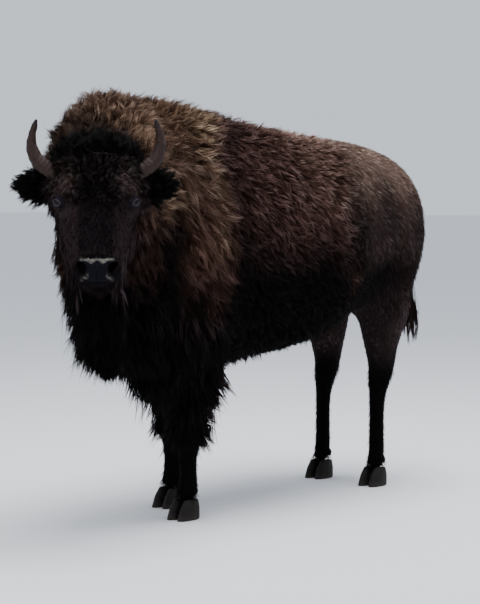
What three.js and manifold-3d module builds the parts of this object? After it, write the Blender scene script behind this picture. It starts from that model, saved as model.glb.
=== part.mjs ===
// A life-size American plains bison in winter coat, standing square on four feet with its head
// turned a little to its own left. Millimetres, +Z up, the trunk lies along X and faces -X, and the
// animal's left side is towards -Y. The flesh and its coat are one smooth body, described by a
// field that is negative inside, which is meshed one region at a time and parted by thin cuts.
import * as THREE from "three";
import Module from "manifold-3d";
import { mergeVertices } from "three/addons/utils/BufferGeometryUtils.js";

const wasm = await Module();
wasm.setup();

// ---- Driving dimensions ----
const HUMP_HEIGHT = 1602; // ground to the top of the coat on the hump
const LOIN_HEIGHT = 1460; // ground to the coat over the loins
const BELLY_HEIGHT = 585; // ground to the hair under the belly
const KNEE_HEIGHT = 365;
const HOCK_HEIGHT = 500;
const HOOF_HEIGHT = 78;
const FORE_STANCE = 120; // each forefoot's distance from the middle of the animal
const HIND_STANCE = 155;
const FORE_LEFT_X = -440;
const FORE_RIGHT_X = -270;
const HIND_LEFT_X = 712;
const HIND_RIGHT_X = 738;
const RUMP_END_X = 1012;
const CHEST_END_X = -800;
const GAP = 0.3; // the cut between neighbouring solids
const LEFT = -1;
const RIGHT = 1;

// ---- The head's own frame: nose along +X, the animal's left along +Y, forehead up +Z ----
const HEAD_TURN = -134.5; // degrees about the upright axis, from +X to the way the face looks
const HEAD_DROP = 53; // degrees that the line from eye to nose points below level
const EYE_HEIGHT = 1205;
const EYE_RADIUS = 20;
const EYES_APART = 127; // each eye's distance from the middle of the face
const headAt = new THREE.Vector3(-1105, -306, EYE_HEIGHT); // midway between the eyes
const headFrame = new THREE.Matrix4()
  .makeRotationZ(THREE.MathUtils.degToRad(HEAD_TURN))
  .multiply(new THREE.Matrix4().makeRotationY(THREE.MathUtils.degToRad(HEAD_DROP)))
  .setPosition(headAt);
const levelHeadFrame = new THREE.Matrix4()
  .makeRotationZ(THREE.MathUtils.degToRad(HEAD_TURN))
  .setPosition(headAt);

// ---- Field helpers: each returns a function of x, y, z that is about the distance outside ----
function blend(a, b, reach) {
  const near = Math.max(reach - Math.abs(a - b), 0) / reach;
  return Math.min(a, b) - (near * near * reach) / 4;
}

function egg(centre, radii, turns = [0, 0, 0]) {
  const back = new THREE.Matrix4()
    .makeRotationFromEuler(new THREE.Euler(...turns.map(THREE.MathUtils.degToRad)))
    .setPosition(...centre)
    .invert().elements;
  return (x, y, z) => {
    const a = (back[0] * x + back[4] * y + back[8] * z + back[12]) / radii[0];
    const b = (back[1] * x + back[5] * y + back[9] * z + back[13]) / radii[1];
    const c = (back[2] * x + back[6] * y + back[10] * z + back[14]) / radii[2];
    const size = Math.hypot(a, b, c);
    const slope = Math.hypot(a / radii[0], b / radii[1], c / radii[2]);
    return slope ? (size * (size - 1)) / slope : -Math.min(...radii);
  };
}

// A limb through joints [x, y, z, radius], each stretch a cone with round ends.
function limb(joints, narrow = 1) {
  return (x, y, z) => {
    let least = Infinity;
    for (let i = 1; i < joints.length; i++) {
      const [ax, ay, az, ar] = joints[i - 1];
      const [bx, by, bz, br] = joints[i];
      const [dx, dy, dz] = [bx - ax, by - ay, bz - az];
      const share = ((x - ax) * dx + (y - ay) * dy + (z - az) * dz) / (dx * dx + dy * dy + dz * dz);
      const t = Math.min(1, Math.max(0, share));
      const away = Math.hypot(x - ax - t * dx, (y - ay - t * dy) / narrow, z - az - t * dz);
      least = Math.min(least, away - ar - t * (br - ar));
    }
    return least;
  };
}

// The value at x of one measure of a row of stations, on a smooth curve through them.
function along(stations, measure, x) {
  const last = stations.length - 1;
  if (x <= stations[0].x) return stations[0][measure];
  if (x >= stations[last].x) return stations[last][measure];
  const i = stations.findIndex((s) => s.x > x) - 1;
  const value = (n) => stations[Math.min(last, Math.max(0, n))][measure];
  const place = (n) => stations[Math.min(last, Math.max(0, n))].x;
  const slope = (n) => (value(n + 1) - value(n - 1)) / (place(n + 1) - place(n - 1));
  const run = place(i + 1) - place(i);
  const t = (x - place(i)) / run;
  return (
    value(i) * (1 + 2 * t) * (1 - t) ** 2 +
    value(i + 1) * t * t * (3 - 2 * t) +
    run * (slope(i) * t * (1 - t) ** 2 - slope(i + 1) * t * t * (1 - t))
  );
}

// A long body whose section at each station runs from low to top, wide to each side of the middle.
function hull(stations, ends, round) {
  return (x, y, z) => {
    const inside = Math.min(Math.max(x, ends.back), ends.front);
    const top = along(stations, "top", inside);
    const low = along(stations, "low", inside);
    const belt = low + (top - low) * along(stations, "belt", inside);
    const wide = along(stations, "wide", inside);
    const power = z > belt ? along(stations, "crown", inside) : 2.3;
    const tall = z > belt ? top - belt : belt - low;
    const spread = (Math.abs(y) / wide) ** power + (Math.abs(z - belt) / tall) ** power;
    const reach = x > ends.frontFull ? (x - ends.frontFull) / (ends.front - ends.frontFull)
      : x < ends.backFull ? (x - ends.backFull) / (ends.back - ends.backFull) : 0;
    const size = (spread ** (round / power) + reach ** round) ** (1 / round);
    return (size - 1) * Math.min(wide, tall);
  };
}

// ---- The flesh with its coat ----
const trunkStations = [
  { x: -700, top: 1545, low: 575, wide: 225, belt: 0.42, crown: 1.8 },
  { x: -520, top: HUMP_HEIGHT - 2, low: 535, wide: 300, belt: 0.42, crown: 1.7 },
  { x: -370, top: HUMP_HEIGHT - 6, low: 540, wide: 322, belt: 0.42, crown: 1.65 },
  { x: -150, top: 1545, low: BELLY_HEIGHT - 10, wide: 330, belt: 0.42, crown: 1.75 },
  { x: 90, top: 1503, low: BELLY_HEIGHT, wide: 342, belt: 0.44, crown: 1.95 },
  { x: 330, top: 1470, low: BELLY_HEIGHT + 50, wide: 345, belt: 0.45, crown: 2.1 },
  { x: 560, top: LOIN_HEIGHT, low: 735, wide: 318, belt: 0.48, crown: 2.2 },
  { x: 750, top: 1432, low: 790, wide: 295, belt: 0.5, crown: 2.3 },
  { x: 900, top: 1375, low: 810, wide: 270, belt: 0.5, crown: 2.3 },
];
const trunk = hull(
  trunkStations,
  { front: RUMP_END_X, frontFull: 690, back: CHEST_END_X, backFull: -560 },
  2.4,
);

const neckParts = [
  egg([-640, -20, 1145], [310, 245, 415]),
  egg([-848, -105, 1300], [230, 213, 312]),
  egg([-975, -205, 1220], [152, 150, 235]),
  egg([-722, -72, 840], [190, 150, 315]),
];

const headStations = [
  { x: -170, top: 70, low: -120, wide: 105, belt: 0.5, crown: 2.3 },
  { x: -90, top: 92, low: -165, wide: 130, belt: 0.6, crown: 2.5 },
  { x: 0, top: 80, low: -168, wide: 142, belt: 0.62, crown: 2.7 },
  { x: 90, top: 60, low: -150, wide: 110, belt: 0.55, crown: 2.5 },
  { x: 180, top: 40, low: -132, wide: 86, belt: 0.5, crown: 2.4 },
  { x: 255, top: 24, low: -120, wide: 76, belt: 0.5, crown: 2.3 },
];
const skull = hull(headStations, { front: 308, frontFull: 235, back: -200, backFull: -120 }, 2.4);
const faceParts = [
  { form: egg([262, 0, -34], [50, 78, 56]), reach: 30 },
  { form: egg([225, 0, -112], [66, 54, 40]), reach: 40 },
  { form: egg([-36, 112, 26], [44, 34, 38]), reach: 40 },
  { form: egg([-36, -112, 26], [44, 34, 38]), reach: 40 },
  { form: egg([-120, 0, 78], [125, 166, 92]), reach: 40 },
  { form: egg([45, 0, -145], [165, 136, 105]), reach: 60 },
];
const toHead = headFrame.clone().invert().elements;
function head(x, y, z) {
  const hx = toHead[0] * x + toHead[4] * y + toHead[8] * z + toHead[12];
  const hy = toHead[1] * x + toHead[5] * y + toHead[9] * z + toHead[13];
  const hz = toHead[2] * x + toHead[6] * y + toHead[10] * z + toHead[14];
  return faceParts.reduce((d, part) => blend(d, part.form(hx, hy, hz), part.reach), skull(hx, hy, hz));
}

function foreleg(footX, side) {
  const y = side * FORE_STANCE;
  return [
    limb([
      [footX - 10, y * 1.3, 760, 150],
      [footX + 5, y * 1.1, 560, 115],
      [footX + 5, y, 450, 92],
      [footX, y, KNEE_HEIGHT - 5, 74],
    ]),
    limb([
      [footX, y, KNEE_HEIGHT, 56],
      [footX + 2, y, 290, 44],
      [footX + 4, y, 170, 39],
      [footX + 2, y, 128, 45],
      [footX - 12, y, HOOF_HEIGHT - 10, 43],
    ]),
  ];
}

function hindleg(footX, side) {
  const y = side * HIND_STANCE;
  return [
    egg([footX + 25, side * 165, 1065], [218, 140, 300]),
    limb([
      [footX - 20, y * 1.12, 860, 160],
      [footX + 20, y * 1.06, 730, 132],
      [footX + 20, y, 640, 106],
      [footX + 16, y, 560, 86],
      [footX + 14, y, HOCK_HEIGHT, 64],
    ], 0.8),
    limb([
      [footX + 72, y, HOCK_HEIGHT + 12, 30],
      [footX, y, HOCK_HEIGHT - 60, 47],
      [footX - 10, y, 330, 38],
      [footX - 10, y, 150, 40],
      [footX - 24, y, HOOF_HEIGHT - 10, 43],
    ]),
  ];
}

const legs = [
  ...foreleg(FORE_LEFT_X, LEFT),
  ...foreleg(FORE_RIGHT_X, RIGHT),
  ...hindleg(HIND_LEFT_X, LEFT),
  ...hindleg(HIND_RIGHT_X, RIGHT),
];

function body(x, y, z) {
  let d = trunk(x, y, z);
  for (const part of neckParts) d = blend(d, part(x, y, z), 110);
  for (const part of legs) d = blend(d, part(x, y, z), 60);
  return blend(d, head(x, y, z), 45);
}

// ---- Meshing a field ----
// One vertex in each cell that the surface crosses, drawn onto the surface after smoothing.
function meshOf(field, box, cells) {
  const size = box.getSize(new THREE.Vector3()).toArray();
  const count = size.map((s, i) => Math.ceil(s / cells[i]) + 1);
  const low = box.min.toArray();
  const at = (i, j, k) => (k * count[1] + j) * count[0] + i;
  const values = new Float64Array(count[0] * count[1] * count[2]);
  for (let k = 0; k < count[2]; k++)
    for (let j = 0; j < count[1]; j++)
      for (let i = 0; i < count[0]; i++) {
        const rim = [i, j, k].some((n, axis) => n === 0 || n === count[axis] - 1);
        const value = field(low[0] + i * cells[0], low[1] + j * cells[1], low[2] + k * cells[2]);
        values[at(i, j, k)] = rim ? Math.max(value, 1) : value || 1e-6;
      }
  const step = [at(1, 0, 0), at(0, 1, 0), at(0, 0, 1)];
  const corners = [];
  for (let n = 0; n < 8; n++) corners.push([n & 1, (n >> 1) & 1, n >> 2]);
  const vertexOf = new Map();
  const points = [];
  for (let k = 0; k + 1 < count[2]; k++)
    for (let j = 0; j + 1 < count[1]; j++)
      for (let i = 0; i + 1 < count[0]; i++) {
        const sum = [0, 0, 0];
        let crossed = 0;
        for (let a = 0; a < 8; a++)
          for (let axis = 0; axis < 3; axis++) {
            if (corners[a][axis]) continue;
            const start = at(i + corners[a][0], j + corners[a][1], k + corners[a][2]);
            const [v0, v1] = [values[start], values[start + step[axis]]];
            if (v0 < 0 === v1 < 0) continue;
            corners[a].forEach((c, n) => (sum[n] += c + (n === axis ? v0 / (v0 - v1) : 0)));
            crossed++;
          }
        if (!crossed) continue;
        vertexOf.set(at(i, j, k), points.length);
        points.push([i, j, k].map((c, n) => low[n] + (c + sum[n] / crossed) * cells[n]));
      }
  const quads = [];
  for (let k = 0; k + 1 < count[2]; k++)
    for (let j = 0; j + 1 < count[1]; j++)
      for (let i = 0; i + 1 < count[0]; i++)
        for (let axis = 0; axis < 3; axis++) {
          const start = at(i, j, k);
          const [v0, v1] = [values[start], values[start + step[axis]]];
          if (v0 < 0 === v1 < 0) continue;
          const [u, v] = [step[(axis + 1) % 3], step[(axis + 2) % 3]];
          const ring = [start - u - v, start - v, start, start - u].map((c) => vertexOf.get(c));
          quads.push(v0 < 0 ? ring : ring.reverse());
        }
  settle(points, quads, field, Math.min(...cells));
  return closedGeometry(points, quads);
}

// Evens out the vertices and draws each one back onto the surface.
function settle(points, quads, field, cell) {
  const neighbours = points.map(() => new Set());
  for (const q of quads)
    q.forEach((v, n) => neighbours[v].add(q[(n + 1) % 4]).add(q[(n + 3) % 4]));
  for (let round = 0; round < 4; round++) {
    const even = points.map((p, n) => {
      const near = [...neighbours[n]];
      const middleOf = (i) => near.reduce((sum, m) => sum + points[m][i], 0) / near.length;
      return p.map((c, i) => (c + middleOf(i)) / 2);
    });
    even.forEach((p, n) => {
      const d = field(...p);
      if (Math.abs(d) > cell) return;
      const h = 1;
      const slope = [0, 1, 2].map((i) => {
        const q = [...p];
        q[i] += h;
        return (field(...q) - d) / h;
      });
      const square = slope.reduce((s, c) => s + c * c, 0.04);
      points[n] = p.map((c, i) => c - (d * slope[i]) / square);
    });
  }
}

function closedGeometry(points, quads) {
  const apart = (a, b) => Math.hypot(...points[a].map((c, i) => c - points[b][i]));
  const index = quads.flatMap(([a, b, c, d]) =>
    apart(a, c) < apart(b, d) ? [a, b, c, a, c, d] : [b, c, d, b, d, a]);
  const geometry = new THREE.BufferGeometry();
  geometry.setAttribute("position", new THREE.Float32BufferAttribute(points.flat(), 3));
  geometry.setIndex(index);
  return geometry;
}

// ---- Solids ----
function solid(geometry) {
  const bare = new THREE.BufferGeometry();
  bare.setAttribute("position", geometry.getAttribute("position"));
  bare.setIndex(geometry.getIndex());
  const merged = mergeVertices(bare, 1e-3);
  return new wasm.Manifold(
    new wasm.Mesh({
      numProp: 3,
      vertProperties: merged.attributes.position.array,
      triVerts: new Uint32Array(merged.index.array),
    }),
  );
}

function geometryOf(manifold) {
  const mesh = manifold.getMesh();
  const geometry = new THREE.BufferGeometry();
  geometry.setAttribute("position", new THREE.BufferAttribute(mesh.vertProperties, 3));
  geometry.setIndex(new THREE.BufferAttribute(mesh.triVerts, 1));
  const faceted = geometry.toNonIndexed();
  faceted.computeVertexNormals();
  return faceted;
}

function block(low, high) {
  const box = new THREE.Box3(new THREE.Vector3(...low), new THREE.Vector3(...high));
  const size = box.getSize(new THREE.Vector3());
  const geometry = new THREE.BoxGeometry(size.x, size.y, size.z);
  geometry.translate(...box.getCenter(new THREE.Vector3()).toArray());
  return geometry;
}

// A round body along a path. shape(t) gives its half-width, its half-thickness, and "ends" are
// closed. The sections' width lies along the given side direction.
function loft(path, shape, sideways, steps, sides, extra = 0) {
  const curve = new THREE.CatmullRomCurve3(path.map((p) => new THREE.Vector3(...p)));
  const side = new THREE.Vector3(...sideways);
  const points = [];
  const index = [];
  for (let i = 0; i <= steps; i++) {
    const t = i / steps;
    const centre = curve.getPoint(t);
    const ahead = curve.getTangent(t);
    if (i === 0) centre.addScaledVector(ahead, -extra);
    const flat = side.clone().addScaledVector(ahead, -side.dot(ahead)).normalize();
    const up = new THREE.Vector3().crossVectors(ahead, flat);
    const [width, thickness] = shape(t);
    for (let n = 0; n < sides; n++) {
      const angle = (2 * Math.PI * n) / sides;
      const p = centre.clone()
        .addScaledVector(flat, (width + extra) * Math.cos(angle))
        .addScaledVector(up, (thickness + extra) * Math.sin(angle));
      points.push(...p.toArray());
      const [a, b] = [i * sides + n, i * sides + ((n + 1) % sides)];
      if (i < steps) index.push(a, b, b + sides, a, b + sides, a + sides);
    }
  }
  const first = curve.getPoint(0).addScaledVector(curve.getTangent(0), -extra);
  const tip = curve.getPoint(1).addScaledVector(curve.getTangent(1), extra);
  const [root, end] = [points.length / 3, points.length / 3 + 1];
  points.push(...first.toArray(), ...tip.toArray());
  for (let n = 0; n < sides; n++) {
    const next = (n + 1) % sides;
    index.push(root, next, n, end, steps * sides + n, steps * sides + next);
  }
  const geometry = new THREE.BufferGeometry();
  geometry.setAttribute("position", new THREE.Float32BufferAttribute(points, 3));
  geometry.setIndex(index);
  return geometry;
}

// ---- Materials ----
const coat = (hex) => new THREE.MeshStandardMaterial({ color: hex, roughness: 0.95, metalness: 0 });
const cape = coat(0x4a3120);
const flank = coat(0x33211a);
const dark = coat(0x120d0b);
const face = coat(0x1b1412);
const keratin = new THREE.MeshStandardMaterial({ color: 0x4a3e38, roughness: 0.45, metalness: 0 });
const hoofHorn = new THREE.MeshStandardMaterial({ color: 0x1a1512, roughness: 0.6, metalness: 0 });
const eyeball = new THREE.MeshStandardMaterial({ color: 0x140c08, roughness: 0.08, metalness: 0 });

const bison = new THREE.Group();
function add(name, shape, material) {
  const mesh = new THREE.Mesh(geometryOf(shape), material);
  mesh.name = name;
  bison.add(mesh);
}

// ---- Horns, ears, eyes and beard, which plug into the head ----
const headLevel = (points, side) => points.map(([forward, out, up]) =>
  new THREE.Vector3(forward, side * out, up).applyMatrix4(levelHeadFrame).toArray());
const direction = (vector, frame) => new THREE.Vector3(...vector).transformDirection(frame).toArray();
const HEAD_LEFT = 1;
const HEAD_RIGHT = -1;

function horn(side, extra) {
  const path = headLevel([
    [-12, 112, 92], [-16, 155, 112], [-26, 196, 138], [-30, 219, 180], [-26, 222, 225], [-16, 205, 287],
  ], side);
  return loft(path, (t) => {
    const radius = 30 * (1 - t ** 2.2) ** 0.8 + 2.5;
    return [radius, radius * 0.92];
  }, direction([1, 0, 0], levelHeadFrame), 10, 8, extra);
}

function ear(side, extra) {
  const path = headLevel([[-50, 105, 50], [-66, 165, 56], [-82, 225, 60], [-94, 282, 64]], side);
  return loft(path, (t) => {
    const leaf = Math.sin(Math.PI * (0.09 + 0.88 * t)) ** 0.62;
    return [2 + 70 * leaf, 2 + 28 * leaf];
  }, direction([0.2, 0, 1], levelHeadFrame), 8, 9, extra);
}

function eye(side, extra) {
  const geometry = new THREE.SphereGeometry(EYE_RADIUS + extra, 10, 8);
  geometry.translate(10, side * EYES_APART, 20);
  return geometry.applyMatrix4(headFrame);
}

function beard(extra) {
  const path = headLevel([
    [-22, 4, -215], [-20, 8, -320], [-22, 20, -430], [-30, 34, -530], [-42, 44, -612],
  ], HEAD_LEFT);
  return loft(path, (t) => {
    const wide = 96 * (1 - t ** 1.7) ** 0.85 + 8;
    return [wide, 56 * (1 - t ** 1.8) + 7];
  }, direction([0, 1, 0], levelHeadFrame), 8, 10, extra);
}

const plugs = [
  ["horn_left", (extra) => horn(HEAD_LEFT, extra), keratin],
  ["horn_right", (extra) => horn(HEAD_RIGHT, extra), keratin],
  ["ear_left", (extra) => ear(HEAD_LEFT, extra), dark],
  ["ear_right", (extra) => ear(HEAD_RIGHT, extra), dark],
  ["eye_left", (extra) => eye(HEAD_LEFT, extra), eyeball],
  ["eye_right", (extra) => eye(HEAD_RIGHT, extra), eyeball],
  ["beard", (extra) => beard(extra), dark],
];
const sockets = plugs.map(([, make]) => solid(make(GAP)));
const largest = (shape) => shape.decompose().sort((a, b) => b.volume() - a.volume())[0];
const withoutSockets = (shape, among = sockets) =>
  among.reduce((rest, socket) => rest.subtract(socket), shape);
// Each plug gives way to those before it, as an ear does to the foot of the horn over it.
plugs.forEach(([name, make, material], n) =>
  add(name, largest(withoutSockets(solid(make(0)), sockets.slice(0, n))), material));

// ---- Head ----
// The head is what lies inside a room with a leaning back wall, which the neck is cut away from.
const HEAD_CUT = -155; // the back wall's place in the head's frame
const HEAD_CUT_LEAN = Math.atan(0.3);
function headRoom(extra) {
  const room = block([HEAD_CUT - extra, -280 - extra, -290 - extra], [500, 280 + extra, 320 + extra]);
  return solid(room.rotateY(-HEAD_CUT_LEAN).applyMatrix4(headFrame));
}
function headMesh() {
  const back = headFrame.elements;
  const local = (x, y, z) => body(
    back[0] * x + back[4] * y + back[8] * z + back[12],
    back[1] * x + back[5] * y + back[9] * z + back[13],
    back[2] * x + back[6] * y + back[10] * z + back[14],
  );
  const box = new THREE.Box3(new THREE.Vector3(-300, -260, -350), new THREE.Vector3(350, 260, 220));
  return solid(meshOf(local, box, [35, 33, 33]).applyMatrix4(headFrame));
}
add("head", largest(withoutSockets(headMesh().intersect(headRoom(0)))), face);

// ---- Tail ----
const TAIL_END = [985, -88, 830];
const tail = (extra) => solid(loft(
  [[935, 0, 1285], [998, -6, 1262], [1022, -22, 1170], [1014, -55, 1000], TAIL_END],
  (t) => [32 - 12 * t, 26 - 8 * t], [1, 0, 0], 8, 8, extra,
));
const [endX, endY] = TAIL_END;
const tuftSwell = (t) => Math.sin(Math.PI * t ** 0.8);
const tuftPath = [
  TAIL_END, [endX - 4, endY - 22, 740], [endX - 6, endY - 36, 650], [endX - 8, endY - 46, 570],
];
const tailTuft = loft(
  tuftPath,
  (t) => [16 + 26 * tuftSwell(t), 14 + 24 * tuftSwell(t)], [1, 0, 0], 6, 8,
);
add("tail", tail(0), flank);
add("tail_tuft", largest(solid(tailTuft).subtract(tail(GAP))), dark);

// ---- Trunk ----
const NECK_CUT_X = -640;
const SHOULDER_CUT_X = -90;
const FLANK_CUT_X = 480;
const FORE_FRONT_X = -610; // where the forelegs' own part of the chest starts and ends
const FORE_BACK_X = -100;
const FORE_CUT = 575; // heights where the upper legs leave the trunk
const HIND_CUT = 740;
const FAR = 1500;
const whole = solid(meshOf(
  body,
  new THREE.Box3(new THREE.Vector3(-1300, -480, 380), new THREE.Vector3(1120, 480, 1720)),
  [96, 65, 83],
));
const trunkSolid = whole
  .subtract(solid(block([FORE_FRONT_X, -500, 0], [FORE_BACK_X, 500, FORE_CUT])))
  .subtract(solid(block([FLANK_CUT_X, -500, 0], [FAR, 500, HIND_CUT])))
  .subtract(tail(GAP));
function between(shape, from, to) {
  return shape.trimByPlane([1, 0, 0], from + GAP / 2).trimByPlane([-1, 0, 0], -to + GAP / 2);
}
const neck = withoutSockets(between(trunkSolid, -FAR, NECK_CUT_X).subtract(headRoom(GAP)));
add("neck", largest(neck), cape);
add("forequarters", largest(between(trunkSolid, NECK_CUT_X, SHOULDER_CUT_X)), cape);
add("barrel", largest(between(trunkSolid, SHOULDER_CUT_X, FLANK_CUT_X)), flank);
add("hindquarters", largest(between(trunkSolid, FLANK_CUT_X, FAR)), flank);

// ---- Legs: an upper and a lower part to each, met by the trunk at a level cut ----
const KNEE_CUT = 318;
const HOCK_CUT = 430;
const LEG_REACH = 420; // how far a leg's parts reach out from the middle of the animal
const MARGIN = 60; // room for the field round a meshed part
function legPart(name, side, [xLow, xHigh], low, high, cells) {
  const near = side === LEFT ? -LEG_REACH : 0;
  const span = new THREE.Box3(
    new THREE.Vector3(xLow - MARGIN, near - MARGIN, low - MARGIN),
    new THREE.Vector3(xHigh + MARGIN, near + LEG_REACH + MARGIN, high + MARGIN),
  );
  const room = block(
    [xLow + GAP, near + GAP / 2, low + GAP / 2],
    [xHigh, near + LEG_REACH - GAP / 2, high - GAP / 2],
  );
  add(name, largest(solid(meshOf(body, span, cells)).intersect(solid(room))), dark);
}
const foreSpan = [FORE_FRONT_X, FORE_BACK_X - GAP];
for (const [name, x, side] of [["left", FORE_LEFT_X, LEFT], ["right", FORE_RIGHT_X, RIGHT]]) {
  legPart(`foreleg_${name}_upper`, side, foreSpan, KNEE_CUT, FORE_CUT, [60, 54, 60]);
  legPart(`foreleg_${name}_lower`, side, [x - 120, x + 120], HOOF_HEIGHT, KNEE_CUT, [30, 29, 46]);
}
for (const [name, x, side] of [["left", HIND_LEFT_X, LEFT], ["right", HIND_RIGHT_X, RIGHT]]) {
  legPart(`hindleg_${name}_upper`, side, [FLANK_CUT_X, x + 240], HOCK_CUT, HIND_CUT, [52, 48, 56]);
  legPart(`hindleg_${name}_lower`, side, [x - 120, x + 140], HOOF_HEIGHT, HOCK_CUT, [30, 29, 52]);
}

// ---- Hooves: two claws to a foot, each a slanted block that is flat on the ground ----
const CLAW = { long: 60, wide: 25, apart: 27, lean: 16, narrow: 0.76, ahead: 26 };
const HIND_TOE_AHEAD = 12; // the hind hooves stand this much further forward
for (const [foot, x, side, stance] of [
  ["fore_left", FORE_LEFT_X, LEFT, FORE_STANCE],
  ["fore_right", FORE_RIGHT_X, RIGHT, FORE_STANCE],
  ["hind_left", HIND_LEFT_X - HIND_TOE_AHEAD, LEFT, HIND_STANCE],
  ["hind_right", HIND_RIGHT_X - HIND_TOE_AHEAD, RIGHT, HIND_STANCE],
]) {
  for (const [claw, out] of [["inner", -1], ["outer", 1]]) {
    const height = HOOF_HEIGHT - GAP / 2;
    const shape = new THREE.CylinderGeometry(CLAW.narrow, 1, height, 10, 1);
    shape.rotateX(Math.PI / 2).translate(0, 0, height / 2).scale(CLAW.long, CLAW.wide, 1);
    shape.applyMatrix4(new THREE.Matrix4().makeShear(0, 0, 0, 0, CLAW.lean / height, 0));
    shape.translate(x - CLAW.ahead, side * (stance + out * CLAW.apart), 0);
    add(`hoof_${foot}_${claw}`, solid(shape), hoofHorn);
  }
}

// The origin is the middle of the whole animal's box, on the ground.
const reach = new THREE.Box3().setFromObject(bison, true);
const middle = reach.getCenter(new THREE.Vector3());
bison.position.set(-middle.x, -middle.y, -reach.min.z);

export default bison;
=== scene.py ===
import math

import bpy
import numpy as np
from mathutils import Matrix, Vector
from mathutils.kdtree import KDTree


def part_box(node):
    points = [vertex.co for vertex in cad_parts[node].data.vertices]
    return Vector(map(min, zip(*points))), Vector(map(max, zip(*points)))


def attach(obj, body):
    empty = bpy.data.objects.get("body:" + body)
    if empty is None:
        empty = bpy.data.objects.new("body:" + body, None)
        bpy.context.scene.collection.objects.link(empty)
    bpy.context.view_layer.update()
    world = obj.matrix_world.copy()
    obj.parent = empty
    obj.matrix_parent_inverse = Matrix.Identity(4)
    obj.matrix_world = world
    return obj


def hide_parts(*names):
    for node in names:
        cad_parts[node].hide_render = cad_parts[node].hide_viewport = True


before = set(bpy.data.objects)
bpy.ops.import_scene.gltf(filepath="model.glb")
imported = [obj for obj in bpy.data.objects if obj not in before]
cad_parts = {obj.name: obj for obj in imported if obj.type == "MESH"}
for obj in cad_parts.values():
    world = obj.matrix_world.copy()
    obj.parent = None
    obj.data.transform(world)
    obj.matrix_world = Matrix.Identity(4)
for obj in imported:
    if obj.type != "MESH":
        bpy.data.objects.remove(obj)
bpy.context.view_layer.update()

bpy.ops.object.select_all(action="DESELECT")

# ---- Where the model stands ----
# A plain pale studio floor that runs up to the horizon, under an even pale sky, as an overcast
# day would light the animal: a broad light overhead and a weaker one from the camera's left.

FLOOR_SIZE = 120
bpy.ops.mesh.primitive_plane_add(size=FLOOR_SIZE)
floor = bpy.context.object
floor.name = "studio_floor"
paper = bpy.data.materials.new("studio_paper")
paper.use_nodes = True
paper.node_tree.nodes["Principled BSDF"].inputs["Base Color"].default_value = (0.80, 0.80, 0.82, 1)
paper.node_tree.nodes["Principled BSDF"].inputs["Roughness"].default_value = 0.9
floor.data.materials.append(paper)

sky = bpy.data.worlds.new("studio_sky")
sky.use_nodes = True
sky.node_tree.nodes["Background"].inputs["Color"].default_value = (0.80, 0.86, 0.95, 1)
sky.node_tree.nodes["Background"].inputs["Strength"].default_value = 1.0
bpy.context.scene.world = sky

for name, place, aim, size, watts in [
    ("overhead", (0.6, -0.6, 6.0), (0.1, 0.0, 0.9), 4.0, 460),
    ("from_left", (-5.5, -1.2, 4.2), (-0.4, -0.1, 1.1), 3.0, 120),
]:
    lamp = bpy.data.lights.new(name, "AREA")
    lamp.energy = watts
    lamp.size = size
    holder = bpy.data.objects.new(name, lamp)
    holder.location = place
    holder.rotation_euler = (Vector(aim) - Vector(place)).to_track_quat("-Z", "Y").to_euler()
    bpy.context.collection.objects.link(holder)

CAMERA_PLACE = (-5.7495, -5.0326, 1.27)
CAMERA_TURN = 49  # degrees from the animal's cross line
CAMERA_DIP = 3.463  # degrees below level
view = bpy.data.cameras.new("camera")
view.lens = 116.2
view.sensor_width = 36
camera = bpy.data.objects.new("camera", view)
camera.location = CAMERA_PLACE
camera.rotation_euler = (math.radians(90 - CAMERA_DIP), 0, math.radians(-CAMERA_TURN))
bpy.context.collection.objects.link(camera)
bpy.context.scene.camera = camera

# ---- The lines that the animal is set out from ----
# The head has a frame of its own, midway between the eyes: forward, left and up. The trunk is
# set out from its middle line, and the legs from the four feet.


def middle(node):
    low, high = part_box(node)
    return (low + high) / 2


EYE_LEFT = np.array(middle("eye_left"))
EYE_RIGHT = np.array(middle("eye_right"))
BETWEEN_EYES = (EYE_LEFT + EYE_RIGHT) / 2
UP = np.array([0.0, 0.0, 1.0])
LEFT = EYE_LEFT - EYE_RIGHT
LEFT = LEFT / np.linalg.norm(LEFT)
FORWARD = np.cross(LEFT, UP)
FACE_DROP = math.radians(53)  # the line from eye to nose, below level
MIDDLE_Y = middle("barrel").y
FEET = {
    foot: (middle(f"hoof_{foot}_inner") + middle(f"hoof_{foot}_outer")) / 2
    for foot in ("fore_left", "fore_right", "hind_left", "hind_right")
}


def ramp(value, start, end):
    """0 at start, 1 at end, with a soft step between."""
    t = np.clip((np.asarray(value, float) - start) / (end - start), 0, 1)
    return t * t * (3 - 2 * t)


def dots(vectors, other):
    return (vectors * other).sum(-1)


def unit(vectors):
    return vectors / np.maximum(np.linalg.norm(vectors, axis=-1, keepdims=True), 1e-9)


def mound(value, middle, width):
    return np.exp(-(((value - middle) / width) ** 2))


def waver(points, size, seed):
    """A smooth random value about 0, mostly within 1, that changes over the given distance."""
    draw = np.random.RandomState(seed)
    total = np.zeros(len(points))
    for _ in range(6):
        heading = unit(draw.normal(size=3))
        turns = points @ heading * (2 * math.pi / size) * draw.uniform(0.6, 1.6)
        total += np.sin(turns + draw.uniform(0, 6.28))
    return total / 3


def head_place(points):
    """How far points lie forward, left and up of the middle between the eyes."""
    away = points - BETWEEN_EYES
    return away @ FORWARD, away @ LEFT, away @ UP


def face_place(points):
    """How far points lie down the face, left, and out of the forehead."""
    forward, left, up = head_place(points)
    down_face = forward * math.cos(FACE_DROP) - up * math.sin(FACE_DROP)
    out = forward * math.sin(FACE_DROP) + up * math.cos(FACE_DROP)
    return down_face, left, out


def side_of_trunk(points):
    return np.abs(points[:, 1] - MIDDLE_Y)


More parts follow.
